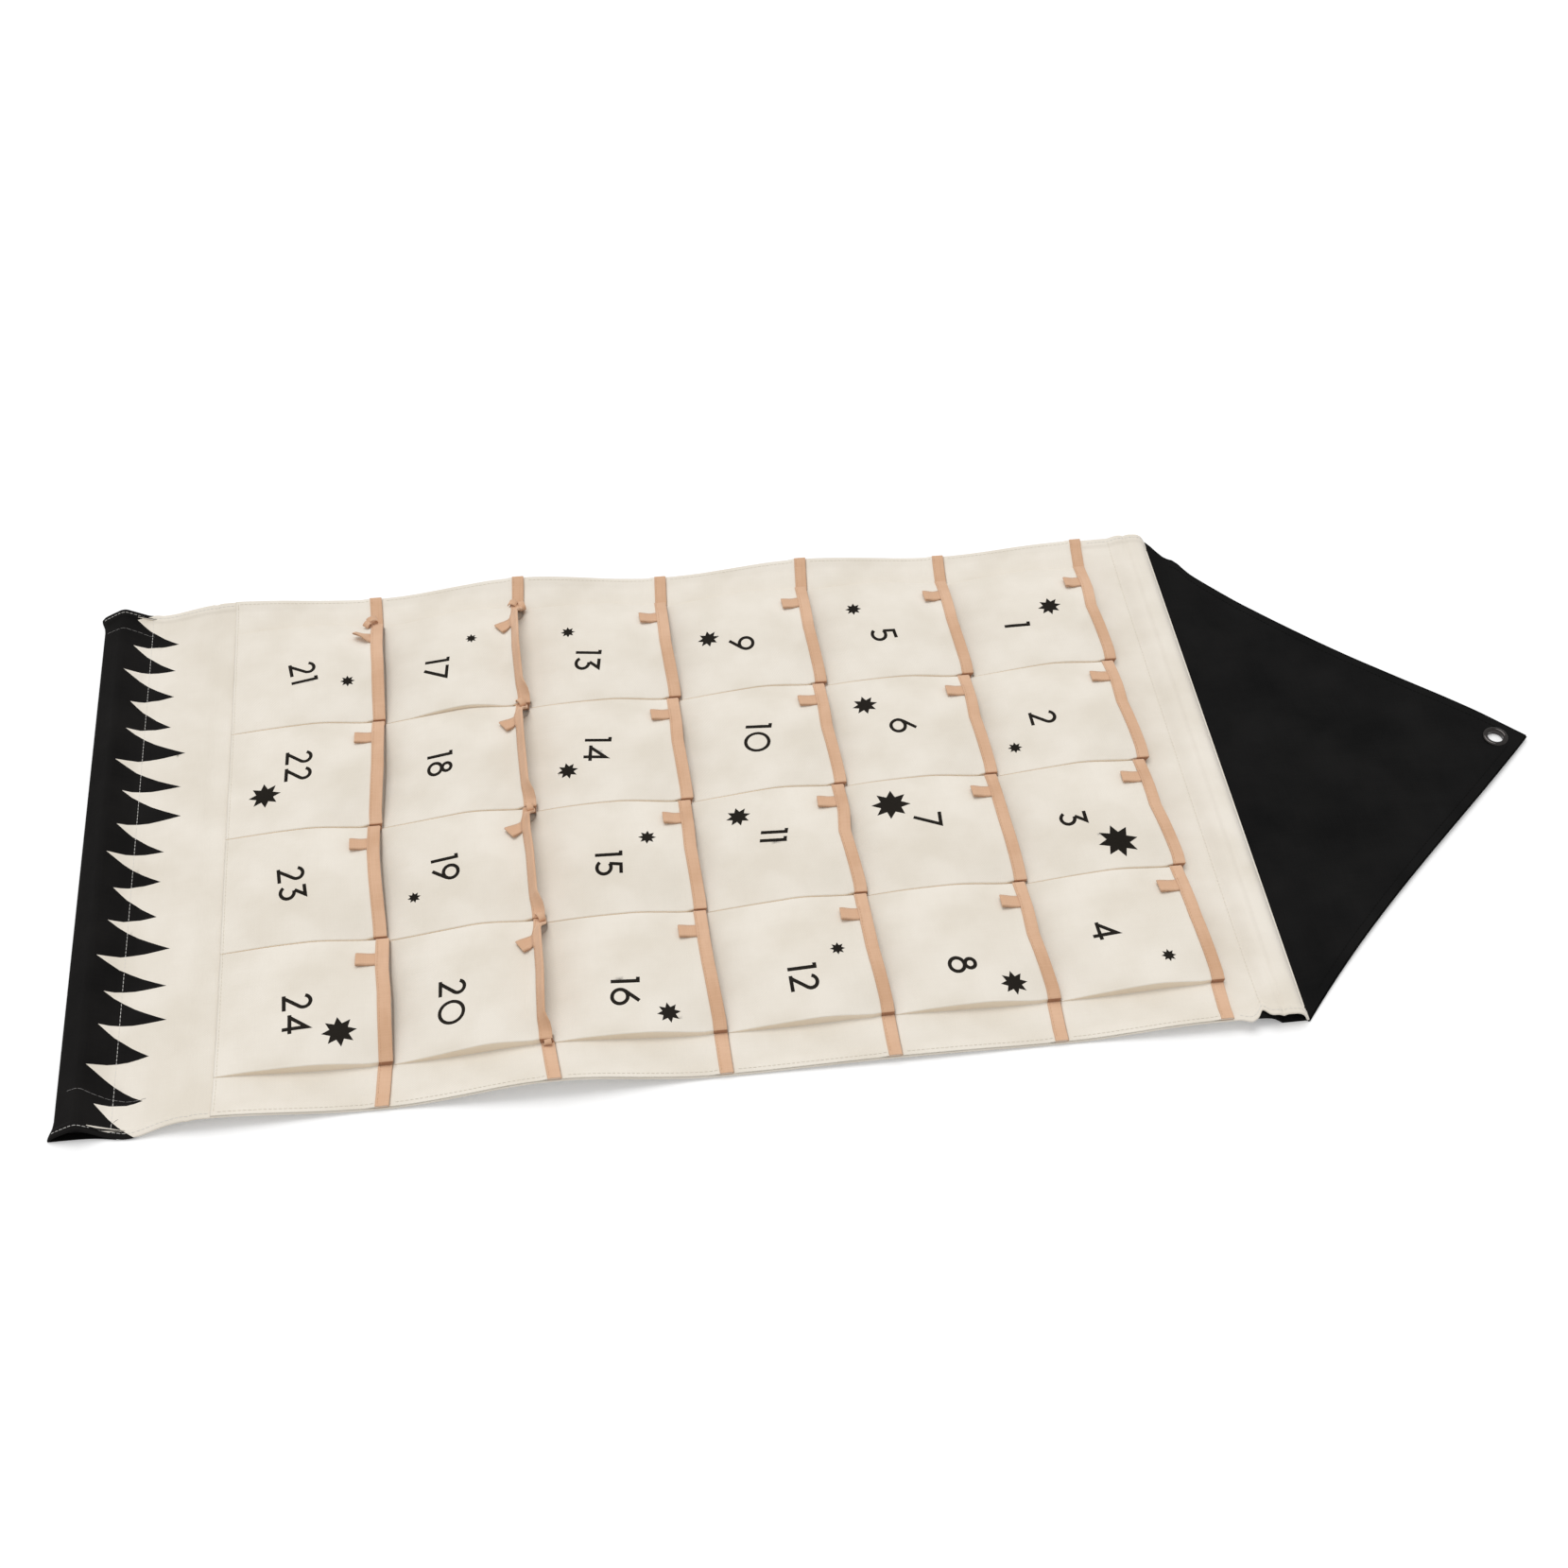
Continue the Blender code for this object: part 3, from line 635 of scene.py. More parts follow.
def tab_bump(row, q, y):
    """The tape stands up where a tab is sewn under its lower edge."""
    bump = np.zeros_like(q)
    for start in STARTS[FACE_SEGMENTS]:
        side = np.abs(q - start - TAB_FROM_SEAM) - TAB_WIDTH / 2
        bump = np.maximum(bump, 1 - smooth(side / 0.0035 + 0.1))
    low = row_y(row) - BINDING_WIDTH / 2
    return 0.00115 * bump * (1 - smooth((y - low) / 0.0055))


def tape_loop(row, seam, size, turn, move):
    """A small loop of tape that stands on a seam, as a grid of points with its cloth's coordinates."""
    place = STARTS[1 + 4 * seam] if seam < COLUMNS else STARTS[-2] - WALL_SPAN
    low = CANVAS / 2 + TAPE_GAP + 1.5 * TAPE
    base = strip_points(row, np.array([place + move[0]]), np.array([row_y(row) - 0.001 + move[1]]), np.array([low]))[0]
    angles = np.linspace(-0.25 * math.pi, 1.62 * math.pi, 15)
    side = np.linspace(-0.5, 0.5, 5)
    a, s = (g.ravel() for g in np.meshgrid(angles, side, indexing="ij"))
    forward = 1.35 * size * np.sin(a) + 0.0004 * np.sin(3 * s)
    wide = 0.0058
    beside = wide * s * (1 - 0.25 * np.sin(a / 2)) + 0.35 * size * a / math.pi
    turn = math.radians(turn)
    x = forward * math.cos(turn) - beside * math.sin(turn)
    y = forward * math.sin(turn) + beside * math.cos(turn)
    z = 0.85 * size * (1 - np.cos(a)) + 0.15 * beside
    points = base + np.stack([x, y, z - 0.0004], 1)
    return points, np.stack([a * size * 1.1, s * wide], 1), (len(angles), len(side))


def make_binding(row, tape, shade):
    middle = CANVAS / 2 + TAPE_GAP + TAPE / 2
    low = row_y(row) - BINDING_WIDTH / 2
    centre = row_y(row) + BINDING_WIDTH / 2 - middle - TAPE / 2
    over = [(centre + middle * math.sin(a), middle * math.cos(a)) for a in BEND_ANGLES]
    front = [(y, middle) for y in np.linspace(low, centre, 7)]
    ys, offsets = np.array([*front, *over, *((y, -middle) for y in np.linspace(centre, low, 4))]).T
    flat = run_lengths(np.stack([ys, offsets], 1))
    stations = strip_stations()
    q = np.repeat(stations, len(ys))
    y, offset, flat = (np.tile(v, len(stations)) for v in (ys, offsets, flat))
    in_front = np.tile(np.arange(len(ys)) < len(front), len(stations))
    pucker = 0.00010 * np.sin(2 * np.pi * q / 0.0029) * (1 - smooth((y - low) / 0.002))
    points = strip_points(row, q, y, offset + np.where(in_front, tab_bump(row, q, y) + pucker, 0))
    wander = 0.00025 * (lattice_noise(q, row + 0 * q, 0.02, 40) - 0.5)
    points[:, 1] += wander * in_front * (1 - smooth((y - low) / 0.003))
    uv = np.stack([q, flat], 1)
    faces = grid_faces(len(stations), len(ys))
    # Painted shade: the tape over the pockets' side walls and seams takes the darker shade material (2)
    ids = np.where(in_wall(q[faces].mean(1)), 2, 0)
    for at, *loop in TAPE_LOOPS:
        if at == row:
            more, more_uv, shape = tape_loop(row, *loop)
            faces = np.concatenate([faces, grid_faces(*shape, len(points))])
            ids = np.concatenate([ids, np.zeros(len(faces) - len(ids), int)])
            points, uv = np.concatenate([points, more]), np.concatenate([uv, more_uv])
    return new_mesh(f"tape_row_{row}", points, faces, [tape, tape, shade], uv, ids, thickness=TAPE)


def make_tab(number, tape):
    """A ribbon folded back on itself, with its two ends under the tape, and its length."""
    row, column = place_of(number)
    start = STARTS[FACE_SEGMENTS[column]] + TAB_FROM_SEAM
    root_y = row_y(row) - BINDING_WIDTH / 2
    rng = np.random.default_rng(number)
    lean = (0.55 if row == OPEN_ROW else 0.0) + rng.uniform(-0.06, 0.06) - (0.4 if number == TWISTED_TAB else 0)
    rise = rng.uniform(0.0006, 0.0016)
    length = TAB_LENGTH + rng.uniform(-0.0008, 0.0006)
    under = 0.0015
    ends = np.linspace(-under, length - 0.0007, 9)
    low = np.full(len(ends), CANVAS / 2 + 0.00008 + TAPE / 2)
    high = low + TAPE + 0.00004 + 0.0006 * smooth((ends + 0.0005) / length)
    lifts = rise * smooth(ends / length) ** 1.5
    turn = (high[-1] - low[-1]) / 2
    bends = [(ends[-1] + turn * math.sin(a), low[-1] + turn - turn * math.cos(a) + lifts[-1]) for a in BEND_ANGLES]
    path = np.array([*zip(ends, low + lifts), *bends, *zip(ends[::-1], (high + lifts)[::-1])])
    flat = run_lengths(path)
    side = np.linspace(-0.5, 0.5, 6)
    down, height = np.repeat(path, len(side), axis=0).T
    beside = np.tile(side, len(path)) * TAB_WIDTH
    uv = np.stack([beside, np.repeat(flat, len(side))], 1)
    if number == TWISTED_TAB:
        twist = math.radians(TWIST) * smooth(down / 0.005)
        beside = beside * (1 - TWIST_TAPER * smooth(down / 0.012))
        height = height + beside * np.sin(twist) + TAB_WIDTH / 2 * np.sin(twist)
        beside = beside * np.cos(twist)
    x = beside * math.cos(lean) + np.maximum(down, 0) * math.sin(lean)
    d = down * math.cos(lean) - beside * math.sin(lean) * smooth(down / 0.004)
    points = strip_points(row, start + x, root_y - np.maximum(d, -under), height)
    faces = grid_faces(len(path), len(side))[:, ::-1]
    return new_mesh(f"ribbon_tab_{number:02d}", points, faces, [tape], uv, thickness=TAPE), flat[-1]


def tangent_angle(point, centre, side):
    away = np.array(point) - np.array(centre)
    return math.atan2(away[0], away[1]) - side * math.acos(ARCH_RADIUS / math.hypot(*away))


def arch_path(start, end, centre):
    """From start to end, over the round of a rod's tunnel about the centre."""
    first, last = tangent_angle(start, centre, 1), tangent_angle(end, centre, -1)
    angles = np.linspace(first, last, 11)
    middle = [(centre[0] + ARCH_RADIUS * math.sin(a), centre[1] + ARCH_RADIUS * math.cos(a)) for a in angles]
    return [start, *middle, end]


PANEL_CORNER = 0.0045
FOOT_TONGUE = 0.0028
# Bells in the panel's form: place up the calendar, half width and size. A crease below the last row, and on the
# right edge a flare near the foot, a notch at the upper tunnel's seam and a bulge above it
FOOT_CREASE = (strip_bottom(ROWS) - 0.0135, 0.0016, 0.0008)
RIGHT_FLARE = (-0.452, 0.016, 0.0035)
TUNNEL_NOTCH = (TOP_STITCH_Y, 0.0030, 0.0060)
NOTCH_BULGE = (0.2385, 0.0040, 0.0024)


def panel_path():
    """The panel from its top edge to the end of its bottom hem, as (y, height) of the cloth's middle."""
    slope = ((0.0004, 0), (0.0016, 0), (0.0029, 0.0032), (0.0046, 0.0058))
    path = [(FOLD_Y - back, UPPER_LAYER + up) for back, up in slope]
    path += arch_path((FOLD_Y - 0.0078, UPPER_LAYER + 0.0081), (TOP_STITCH_Y, UPPER_LAYER), (TOP_ROD_Y, ROD_Z))
    path += [(TOP_STITCH_Y - SEAM_ALLOWANCE, UPPER_LAYER), (TOP_STITCH_Y - SEAM_ALLOWANCE * 3, CANVAS / 2)]
    hem_end = BOTTOM_STITCH_Y + SEAM_ALLOWANCE
    path += [(hem_end + SEAM_ALLOWANCE / 2, CANVAS / 2), (hem_end, UPPER_LAYER)]
    fold = BOTTOM_Y + CANVAS / 2
    path += arch_path((BOTTOM_STITCH_Y, UPPER_LAYER), (fold, UPPER_LAYER), (BOTTOM_ROD_Y, ROD_Z))
    return np.array([*path, (fold, CANVAS / 2), (hem_end, CANVAS / 2)])


PATH = panel_path()
PATH_LENGTHS = np.linalg.norm(np.diff(PATH, axis=0), axis=1)
PATH_STARTS = run_lengths(PATH)


def panel_points(u, s):
    """Points on the panel: u across its cloth, past the edge in the hem, and s down its path from the fold."""
    u, s = as_floats(u, s)
    segment, part = locate(s, PATH_STARTS, PATH_LENGTHS)
    points, normals = along(np.broadcast_to(PATH, (len(s), *PATH.shape)), segment, part, PANEL_CORNER)
    turn = HEM_STEP / 2
    past = np.abs(u) - (HALF - turn)
    angle = np.clip(past / turn, 0, math.pi)
    x = np.where(past < 0, np.abs(u), HALF - turn + turn * np.sin(angle) - np.maximum(past - math.pi * turn, 0))
    below = np.where(past < 0, 0, turn * (1 - np.cos(angle)))
    out = hem_lift(np.abs(u)) * (1 - smooth((s - PATH_STARTS[-3] + 0.004) / 0.004)) - below
    out = out - hump(points[:, 0], *FOOT_CREASE)
    points = points - normals * out[:, None]
    y = points[:, 0]
    flare = hump(y, *RIGHT_FLARE) * smooth((x - 0.15) / 0.075)
    notch = (hump(y, *TUNNEL_NOTCH) - hump(y, *NOTCH_BULGE)) * smooth((x - 0.195) / 0.03)
    tongue = FOOT_TONGUE * smooth((x - 0.213) / 0.012) * smooth((BOTTOM_ROD_Y + 0.0005 - y) / 0.012)
    return drape(np.sign(u) * (x + np.where(u > 0, flare - notch, 0)), y - tongue, points[:, 1])


def path_s(y):
    """How far down the panel's path its front first passes y."""
    ys = PATH[:, 0]
    for i in range(len(ys) - 1):
        if ys[i] >= y >= ys[i + 1] and ys[i] > ys[i + 1]:
            return PATH_STARTS[i] + (ys[i] - y) / (ys[i] - ys[i + 1]) * PATH_LENGTHS[i]
    raise ValueError(y)


def zigzag():
    """Outline of the printed sawtooth band at the foot, on (u, -s), with teeth that vary by a formula."""
    rng = np.random.default_rng(5)
    teeth = 16
    reach = HALF + HEM + 0.0005
    pitch = PANEL_WIDTH / teeth
    fold_s = path_s(BOTTOM_Y + CANVAS / 2 + 1e-6)
    corners = [(-reach, 0.046)]
    for k in range(teeth):
        valley = -HALF + (k + 0.2) * pitch + rng.uniform(-0.0025, 0.0025)
        tall = 0.0095 if k > 3 and (k - 4) // 3 % 2 == 0 else 0
        corners.append((valley, 0.024 + 0.004 * math.sin(k * 2.1 + 0.7)))
        corners.append((valley + 0.86 * pitch, 0.0575 + tall + rng.uniform(-0.001, 0.001)))
    corners.append((reach, 0.050))
    line = []
    for k, ((x0, h0), (x1, h1)) in enumerate(zip(corners, corners[1:])):
        bow = 0.03 if k % 2 else 0.02
        for t in np.linspace(0, 1, 7)[:-1]:
            line.append((x0 + (x1 - x0) * t + bow * pitch * math.sin(math.pi * t), h0 + (h1 - h0) * t))
    line.append(corners[-1])
    outline = [(x, -(fold_s - h)) for x, h in line]
    end = -(PATH_STARTS[-1] + 0.001)
    return np.array([*outline, (reach, end), (-reach, end)])


def make_panel(cloth, ink):
    turn = HEM_STEP / 2
    side = [0, 0.0006, 0.0012, 0.0020, 0.0028, 0.0036, 0.0044, 0.0052, 0.0060, 0.0070, 0.0085]
    hem = [HALF - turn + turn * a for a in np.linspace(0, math.pi, 7)[1:]]
    hem += [HALF - turn + turn * math.pi + d for d in (0.001, 0.0025, HEM - turn)]
    half = [0.0, *np.arange(0.004, HALF - 0.0095, 0.004), *(HALF - turn - d for d in side), *hem]
    across = np.unique(np.round(np.concatenate([-np.array(half), half]), 7))
    downs = [PATH_STARTS[-1]]
    for start, length in zip(PATH_STARTS, PATH_LENGTHS):
        if length > 0.25:
            near = np.arange(0, 0.030, 0.0025)
            foot = np.arange(length - 0.105, length, 0.0025)
            downs += [*(start + near), *(start + np.arange(0.035, length - 0.108, 0.008)), *(start + foot)]
        else:
            downs += list(start + np.linspace(0, length, max(2, math.ceil(length / 0.0015)) + 1)[:-1])
    grid = [(u * 1000, -s * 1000) for u in across for s in np.unique(np.round(downs, 7))]
    outline = zigzag()
    outline[:, 0] = np.clip(outline[:, 0], -across[-1], across[-1])
    outline[:, 1] = np.maximum(outline[:, 1], -PATH_STARTS[-1])
    flat, found, inside = triangulate(grid, [outline * 1000])
    inner = path_s(BOTTOM_STITCH_Y) * 1000
    faces, ids = [], []
    for face, printed in zip(found, inside):
        x, s = flat[list(face)].mean(0) * [1, -1]
        if abs(x / 1000) < HALF or s / 1000 < PATH_STARTS[-3] - 0.001:
            faces.append(face)
            ids.append((2 if s > inner and abs(x) > 185 else 1) if printed else 0)
    points = panel_points(flat[:, 0] / 1000, -flat[:, 1] / 1000)
    return new_mesh("panel_cloth", points, faces, [cloth, ink, ink], flat / 1000, ids, CANVAS)


def make_backing(black):
    xs = np.linspace(-HALF + 0.0004, HALF - 0.0004, 90)
    ys = np.linspace(FOLD_Y - 0.0012, TOP_STITCH_Y - SEAM_ALLOWANCE + CLEARANCE, 14)
    x, y = (g.ravel() for g in np.meshgrid(xs, ys, indexing="ij"))
    faces = grid_faces(len(xs), len(ys))[:, ::-1]
    return new_mesh(
        "tunnel_backing", drape(x, y, CANVAS / 2), faces, [black], np.stack([x, y], 1), thickness=CANVAS
    )


def flap_edge(side, share):
    """Where the flap's left or right edge runs, at a share of the way from the fold to the tip."""
    draw_in = FLAP_LEFT_DRAW_IN if side < 0 else FLAP_RIGHT_DRAW_IN
    bow = share * (1 - share) ** 2 / (4 / 27)
    straight = HALF + (FLAP_TIP / 2 - HALF) * share
    if side < 0:
        near, middle, tip = FLAP_LEFT_INS
        straight = straight - middle * smooth((share - 0.25) / 0.5) - tip * smooth((share - 0.85) / 0.15)
        kink = hump(share, FLAP_KINK, 0.022, 0.95)
        straight = straight - near * smooth(share / 0.05) * smooth((1 - share) / 0.55) * (1 - kink)
    return FLAP_DRIFT * share + side * (straight - draw_in * bow)


def flap_height(x, y):
    """Height of the middle of the flap's upper layer at (x, y)."""
    share = np.clip((y - FOLD_Y) / FLAP_HEIGHT, 0, 1)
    left, right = flap_edge(-1, share), flap_edge(1, share)
    slope = 0.7
    inside = np.minimum(x - left, right - x) * slope
    hem = np.minimum(0.008, 0.75 * (right - left) / 2 * slope)
    lift = EYELET_LIFT * (1 - (1 - share) ** 2)
    step = HEM_STEP * (1 - smooth((inside - hem) / 0.012))
    soft = 0.0009 * lattice_noise(x, y, 0.06, 21) + 0.0003 * lattice_noise(x, y, 0.02, 22)
    calm = smooth((np.hypot(x - EYELET_X, y - EYELET_Y) - 0.010) / 0.02) * smooth((y - FOLD_Y) / 0.02)
    return lift + CANVAS / 2 + step + soft * calm


def make_flap(black):
    base = -0.0009  # how far past the fold the flap's cloth goes on under the tunnel
    shares = np.concatenate([[base / FLAP_HEIGHT], np.linspace(0, 1, 71)])
    left = [(flap_edge(-1, max(t, 0)), FOLD_Y + FLAP_HEIGHT * t) for t in shares]
    right = [(flap_edge(1, max(t, 0)), FOLD_Y + FLAP_HEIGHT * t) for t in shares]
    tip = [(x, FOLD_Y + FLAP_HEIGHT) for x in np.linspace(left[-1][0], right[-1][0], 4)[1:-1]]
    foot = [(x, FOLD_Y + base) for x in np.linspace(right[0][0], left[0][0], 101)[1:-1]]
    boundary = np.array([*left, *tip, *right[::-1], *foot])
    radius = 0.0063  # of the hole that the eyelet's barrel goes through
    hole = np.array(arc((EYELET_X, EYELET_Y), radius, 0, 360, 40)[:-1])
    inner = []
    for y in np.arange(FOLD_Y + 0.0015, FOLD_Y + FLAP_HEIGHT - 0.001, 0.003):
        t = (y - FOLD_Y) / FLAP_HEIGHT
        low, high = flap_edge(-1, t), flap_edge(1, t)
        insets = [d for d in (0.0012, 0.003, 0.006, 0.0095, 0.0115, 0.0135) if low + d < high - d]
        inner += [(x, y) for d in insets for x in (low + d, high - d)]
        inner += [(x, y) for x in np.arange(low + 0.017, high - 0.0165, 0.004)]
    inner = [p for p in inner if math.hypot(p[0] - EYELET_X, p[1] - EYELET_Y) > radius + 0.0008]
    flat, faces, inside = triangulate([(x * 1000, y * 1000) for x, y in inner], [boundary * 1000, hole * 1000])
    faces = [face for face, found in zip(faces, inside) if found == {0}]
    flat = flat / 1000
    heights = flap_height(flat[:, 0], flat[:, 1])
    points = [np.array([*p, z]) for p, z in zip(flat, heights)]
    uv = [tuple(p) for p in flat]
    turn = HEM_STEP / 2
    for side, edge in ((-1, np.array(left)), (1, np.array(right))):
        ways = unit(np.gradient(edge, axis=0))
        inward = np.stack([ways[:, 1], -ways[:, 0]], 1) * -side
        rows = []
        for point, way in zip(edge, inward):
            t = (point[1] - FOLD_Y) / FLAP_HEIGHT
            wide = min(0.0075, 0.55 * (flap_edge(1, max(t, 0)) - flap_edge(-1, max(t, 0))) / 2)
            z = float(flap_height(point[0], point[1]))
            index = int(np.argmin(np.abs(flat - point).sum(1)))
            row = [index]
            for angle in np.radians([45, 90, 135, 180]):
                place = point - way * turn * math.sin(angle)
                row.append(len(points))
                points.append(np.array([*place, z - turn * (1 - math.cos(angle))]))
                uv.append(tuple(point - way * turn * angle))
            for inset in (wide / 2, wide):
                place = point + way * inset
                row.append(len(points))
                points.append(np.array([*place, z - 2 * turn]))
                uv.append(tuple(point - way * (turn * math.pi + inset)))
            rows.append(row)
        for a, b in zip(rows, rows[1:]):
            for k in range(len(a) - 1):
                quad = (a[k], b[k], b[k + 1], a[k + 1])
                faces.append(quad if side > 0 else quad[::-1])
    return new_mesh("flap_cloth", points, faces, [black], uv, thickness=CANVAS)


def lathe(name, profile, material):
    """A ring about the eyelet's middle, from its half-section."""
    sides = 72
    n = len(profile)
    points, faces = [], []
    for i, a in enumerate(np.linspace(0, 2 * math.pi, sides, endpoint=False)):
        points += [(EYELET_X + r * math.cos(a), EYELET_Y + r * math.sin(a), z) for r, z in profile]
        here, after = i * n, (i + 1) % sides * n
        faces += [(here + k, after + k, after + (k + 1) % n, here + (k + 1) % n) for k in range(n)]
    return new_mesh(name, points, faces, [material], smooth_angle=50, turn_out=True)


def eyelet_profile():
    """Half-section of the pressing: bore, crowned flange, and the back end rolled over the washer."""
    bore, sheet = 0.0055, 0.0005
    seat = EYELET_LIFT + CANVAS + CLEARANCE
    inner, outer = np.radians(np.linspace(0, 90, 8)), np.radians(np.linspace(8, 90, 8))
    return [
        (bore, sheet / 2),
        *((bore + 0.0016 - 0.0016 * math.cos(a), seat + 0.0004 + 0.0010 * math.sin(a)) for a in inner),
        *((0.0072 + 0.0018 * math.sin(a), seat + 0.0001 + 0.0013 * math.cos(a)) for a in outer),
        (0.0088, seat), (bore + sheet, seat), (bore + sheet, sheet),
        (0.0070, sheet), (0.0070, sheet / 2), (0.0068, 0), (bore + sheet / 2, 0),
    ]


def washer_profile():
    low, top = 0.0008, EYELET_LIFT - CLEARANCE
    outer = [(0.0085, top), (0.009, top), (0.009, top - 0.0005), (0.0086, top - 0.0006)]
    return [(0.0063, low), (0.0063, low + 0.0005), *outer]


def stitch_line(name, points, ups, material, length=0.0024, gap=0.0006, radius=0.00018):
    """Separate short threads along a line of surface points, each ending just under the surface."""
    distance = run_lengths(points)
    verts, faces = [], []
    sides = 6
    turns = [2 * math.pi * j / sides for j in range(sides)]
    for k in range(int(distance[-1] / (length + gap))):
        start = k * (length + gap) + gap / 2
        at = [start + f * length for f, _, _ in STITCH_SHAPE]
        middle, up = (np.stack([np.interp(at, distance, v[:, c]) for c in range(3)], 1) for v in (points, ups))
        way = middle[-1] - middle[0]
        way /= max(np.linalg.norm(way), 1e-9)
        first = len(verts)
        for (_, rise, size), m, u in zip(STITCH_SHAPE, middle, unit(up)):
            side = np.cross(way, u)
            verts += [m + u * rise * radius + (side * math.cos(a) + u * math.sin(a)) * radius * size for a in turns]
        last = len(verts) - sides
        for a in range(first, last, sides):
            faces += [(a + j, a + (j + 1) % sides, a + sides + (j + 1) % sides, a + sides + j) for j in range(sides)]
        faces.append(tuple(reversed(range(first, first + sides))))
        faces.append(tuple(range(last, last + sides)))
    return new_mesh(name, verts, faces, [material], turn_out=True)


def surface_line(surface, a, b):
    """Points and normals of a surface function of two parameters, along a line of parameters."""
    step = 0.0004
    da = surface(a + step, b) - surface(a - step, b)
    db = surface(a, b + step) - surface(a, b - step)
    ups = np.cross(da, db)
    ups /= np.maximum(np.linalg.norm(ups, axis=1, keepdims=True), 1e-12)
    ups *= np.where(ups[:, 2:] < 0, -1, 1)
    return surface(a, b) + ups * CANVAS / 2, ups


def node_material(name):
    material = bpy.data.materials.new(name)
    material.use_nodes = True
    tree = material.node_tree
    return material, tree, tree.nodes["Principled BSDF"]


def put(node, **values):
    """Sets a node's inputs by their names, with underscores for spaces."""
    for name, value in values.items():
        node.inputs[name.replace("_", " ")].default_value = value
    return node


def add(tree, kind, vector=None, **values):
    """A new node with these inputs, which takes its place from the vector."""
    node = put(tree.nodes.new(kind), **values)
    if vector:
        tree.links.new(vector, node.inputs["Vector"])
    return node


def math_node(tree, operation, a, b=None):
    node = tree.nodes.new("ShaderNodeMath")
    node.operation = operation
    for socket, value in zip(node.inputs, (a, b)):
        if value is None:
            continue
        if isinstance(value, (int, float)):
            socket.default_value = value
        else:
            tree.links.new(value, socket)
    return node.outputs[0]


def mix_colour(tree, shader, share, dark, light):
    mix = tree.nodes.new("ShaderNodeMix")
    mix.data_type = "RGBA"
    mix.inputs[6].default_value = (*dark, 1)
    mix.inputs[7].default_value = (*light, 1)
    tree.links.new(share, mix.inputs[0])
    tree.links.new(mix.outputs[2], shader.inputs["Base Color"])


def raise_surface(tree, shader, height, strength, distance):
    bump = add(tree, "ShaderNodeBump", Strength=strength, Distance=distance)
    tree.links.new(height, bump.inputs["Height"])
    tree.links.new(bump.outputs[0], shader.inputs["Normal"])


def weave(name, dark, light, roughness, pitch=0.0007, depth=0.0001, streaks=0.35, sheen=0.2, specular=0.2, twill=False):
    """Plain or twill weave from the cloth's own flat coordinates, with uneven threads and faint clouding."""
    material, tree, shader = node_material(name)
    calc = partial(math_node, tree)
    cloth = tree.nodes.new("ShaderNodeUVMap")
    cloth.uv_map = "cloth"
    place = cloth.outputs[0]
    split = add(tree, "ShaderNodeSeparateXYZ", place)
    wobble = add(tree, "ShaderNodeTexNoise", place, Scale=55.0, Detail=1.0)
    shift = calc("MULTIPLY", wobble.outputs["Fac"], pitch * 1.5)
    u, v = (calc("ADD", split.outputs[axis], shift) for axis in (0, 1))
    turns = math.pi / pitch
    if twill:
        slant = calc("SINE", calc("MULTIPLY", calc("ADD", u, v), turns * 1.4))
        cross = calc("SINE", calc("MULTIPLY", u, turns * 2.2))
        height = calc("ADD", slant, calc("MULTIPLY", cross, 0.4))
    else:
        warp, weft = (calc("SINE", calc("MULTIPLY", axis, turns)) for axis in (u, v))
        ribs = calc("ADD", calc("ABSOLUTE", warp), calc("ABSOLUTE", weft))
        height = calc("ADD", calc("MULTIPLY", warp, weft), calc("MULTIPLY", ribs, 0.6))
    tones = []
    for scale, seed in (((1700, 40, 1), 3.0), ((40, 1700, 1), 9.0)):
        mapping = add(tree, "ShaderNodeMapping", place, Scale=scale, Location=(seed, seed, 0))
        noise = add(tree, "ShaderNodeTexNoise", mapping.outputs[0], Scale=1.0, Detail=2.0, Roughness=0.6)
        tones.append(noise.outputs["Fac"])
    cloud = add(tree, "ShaderNodeTexNoise", place, Scale=22.0, Detail=3.0)
    threads = calc("MULTIPLY", calc("ADD", *tones), 0.5 * streaks)
    ramp = add(tree, "ShaderNodeMapRange", From_Min=0.36, From_Max=0.62)
    clouded = calc("ADD", threads, calc("MULTIPLY", cloud.outputs["Fac"], 1 - streaks))
    tree.links.new(clouded, ramp.inputs["Value"])
    mix_colour(tree, shader, ramp.outputs[0], dark, light)
    rough = calc("ADD", calc("MULTIPLY", threads, 0.12), roughness - 0.05)
    tree.links.new(rough, shader.inputs["Roughness"])
    put(shader, Sheen_Weight=sheen, Sheen_Roughness=0.5, Specular_IOR_Level=specular)
    raise_surface(tree, shader, calc("ADD", calc("MULTIPLY", height, 0.5), threads), 0.55, depth)
    return material


def speckled(name, dark, light, strength, distance, stretch=None, **noise_values):
    """A material with its colour and its bumps from one noise: material, tree, shader and noise."""
    material, tree, shader = node_material(name)
    place = tree.nodes.new("ShaderNodeTexCoord").outputs["Object"]
    if stretch:
        place = add(tree, "ShaderNodeMapping", place, Scale=stretch).outputs[0]
    noise = add(tree, "ShaderNodeTexNoise", place, **noise_values).outputs["Fac"]
    mix_colour(tree, shader, noise, dark, light)
    raise_surface(tree, shader, noise, strength, distance)
    return material, tree, shader, noise


def thread_material(name, colour, sheen=0.2, specular=0.4):
    dark = [c * 0.8 for c in colour]
    material, _, shader, _ = speckled(name, dark, colour, 0.5, 0.00008, Scale=2600.0, Detail=2.0)
    put(shader, Roughness=0.6, Sheen_Weight=sheen, Specular_IOR_Level=specular)
    return material


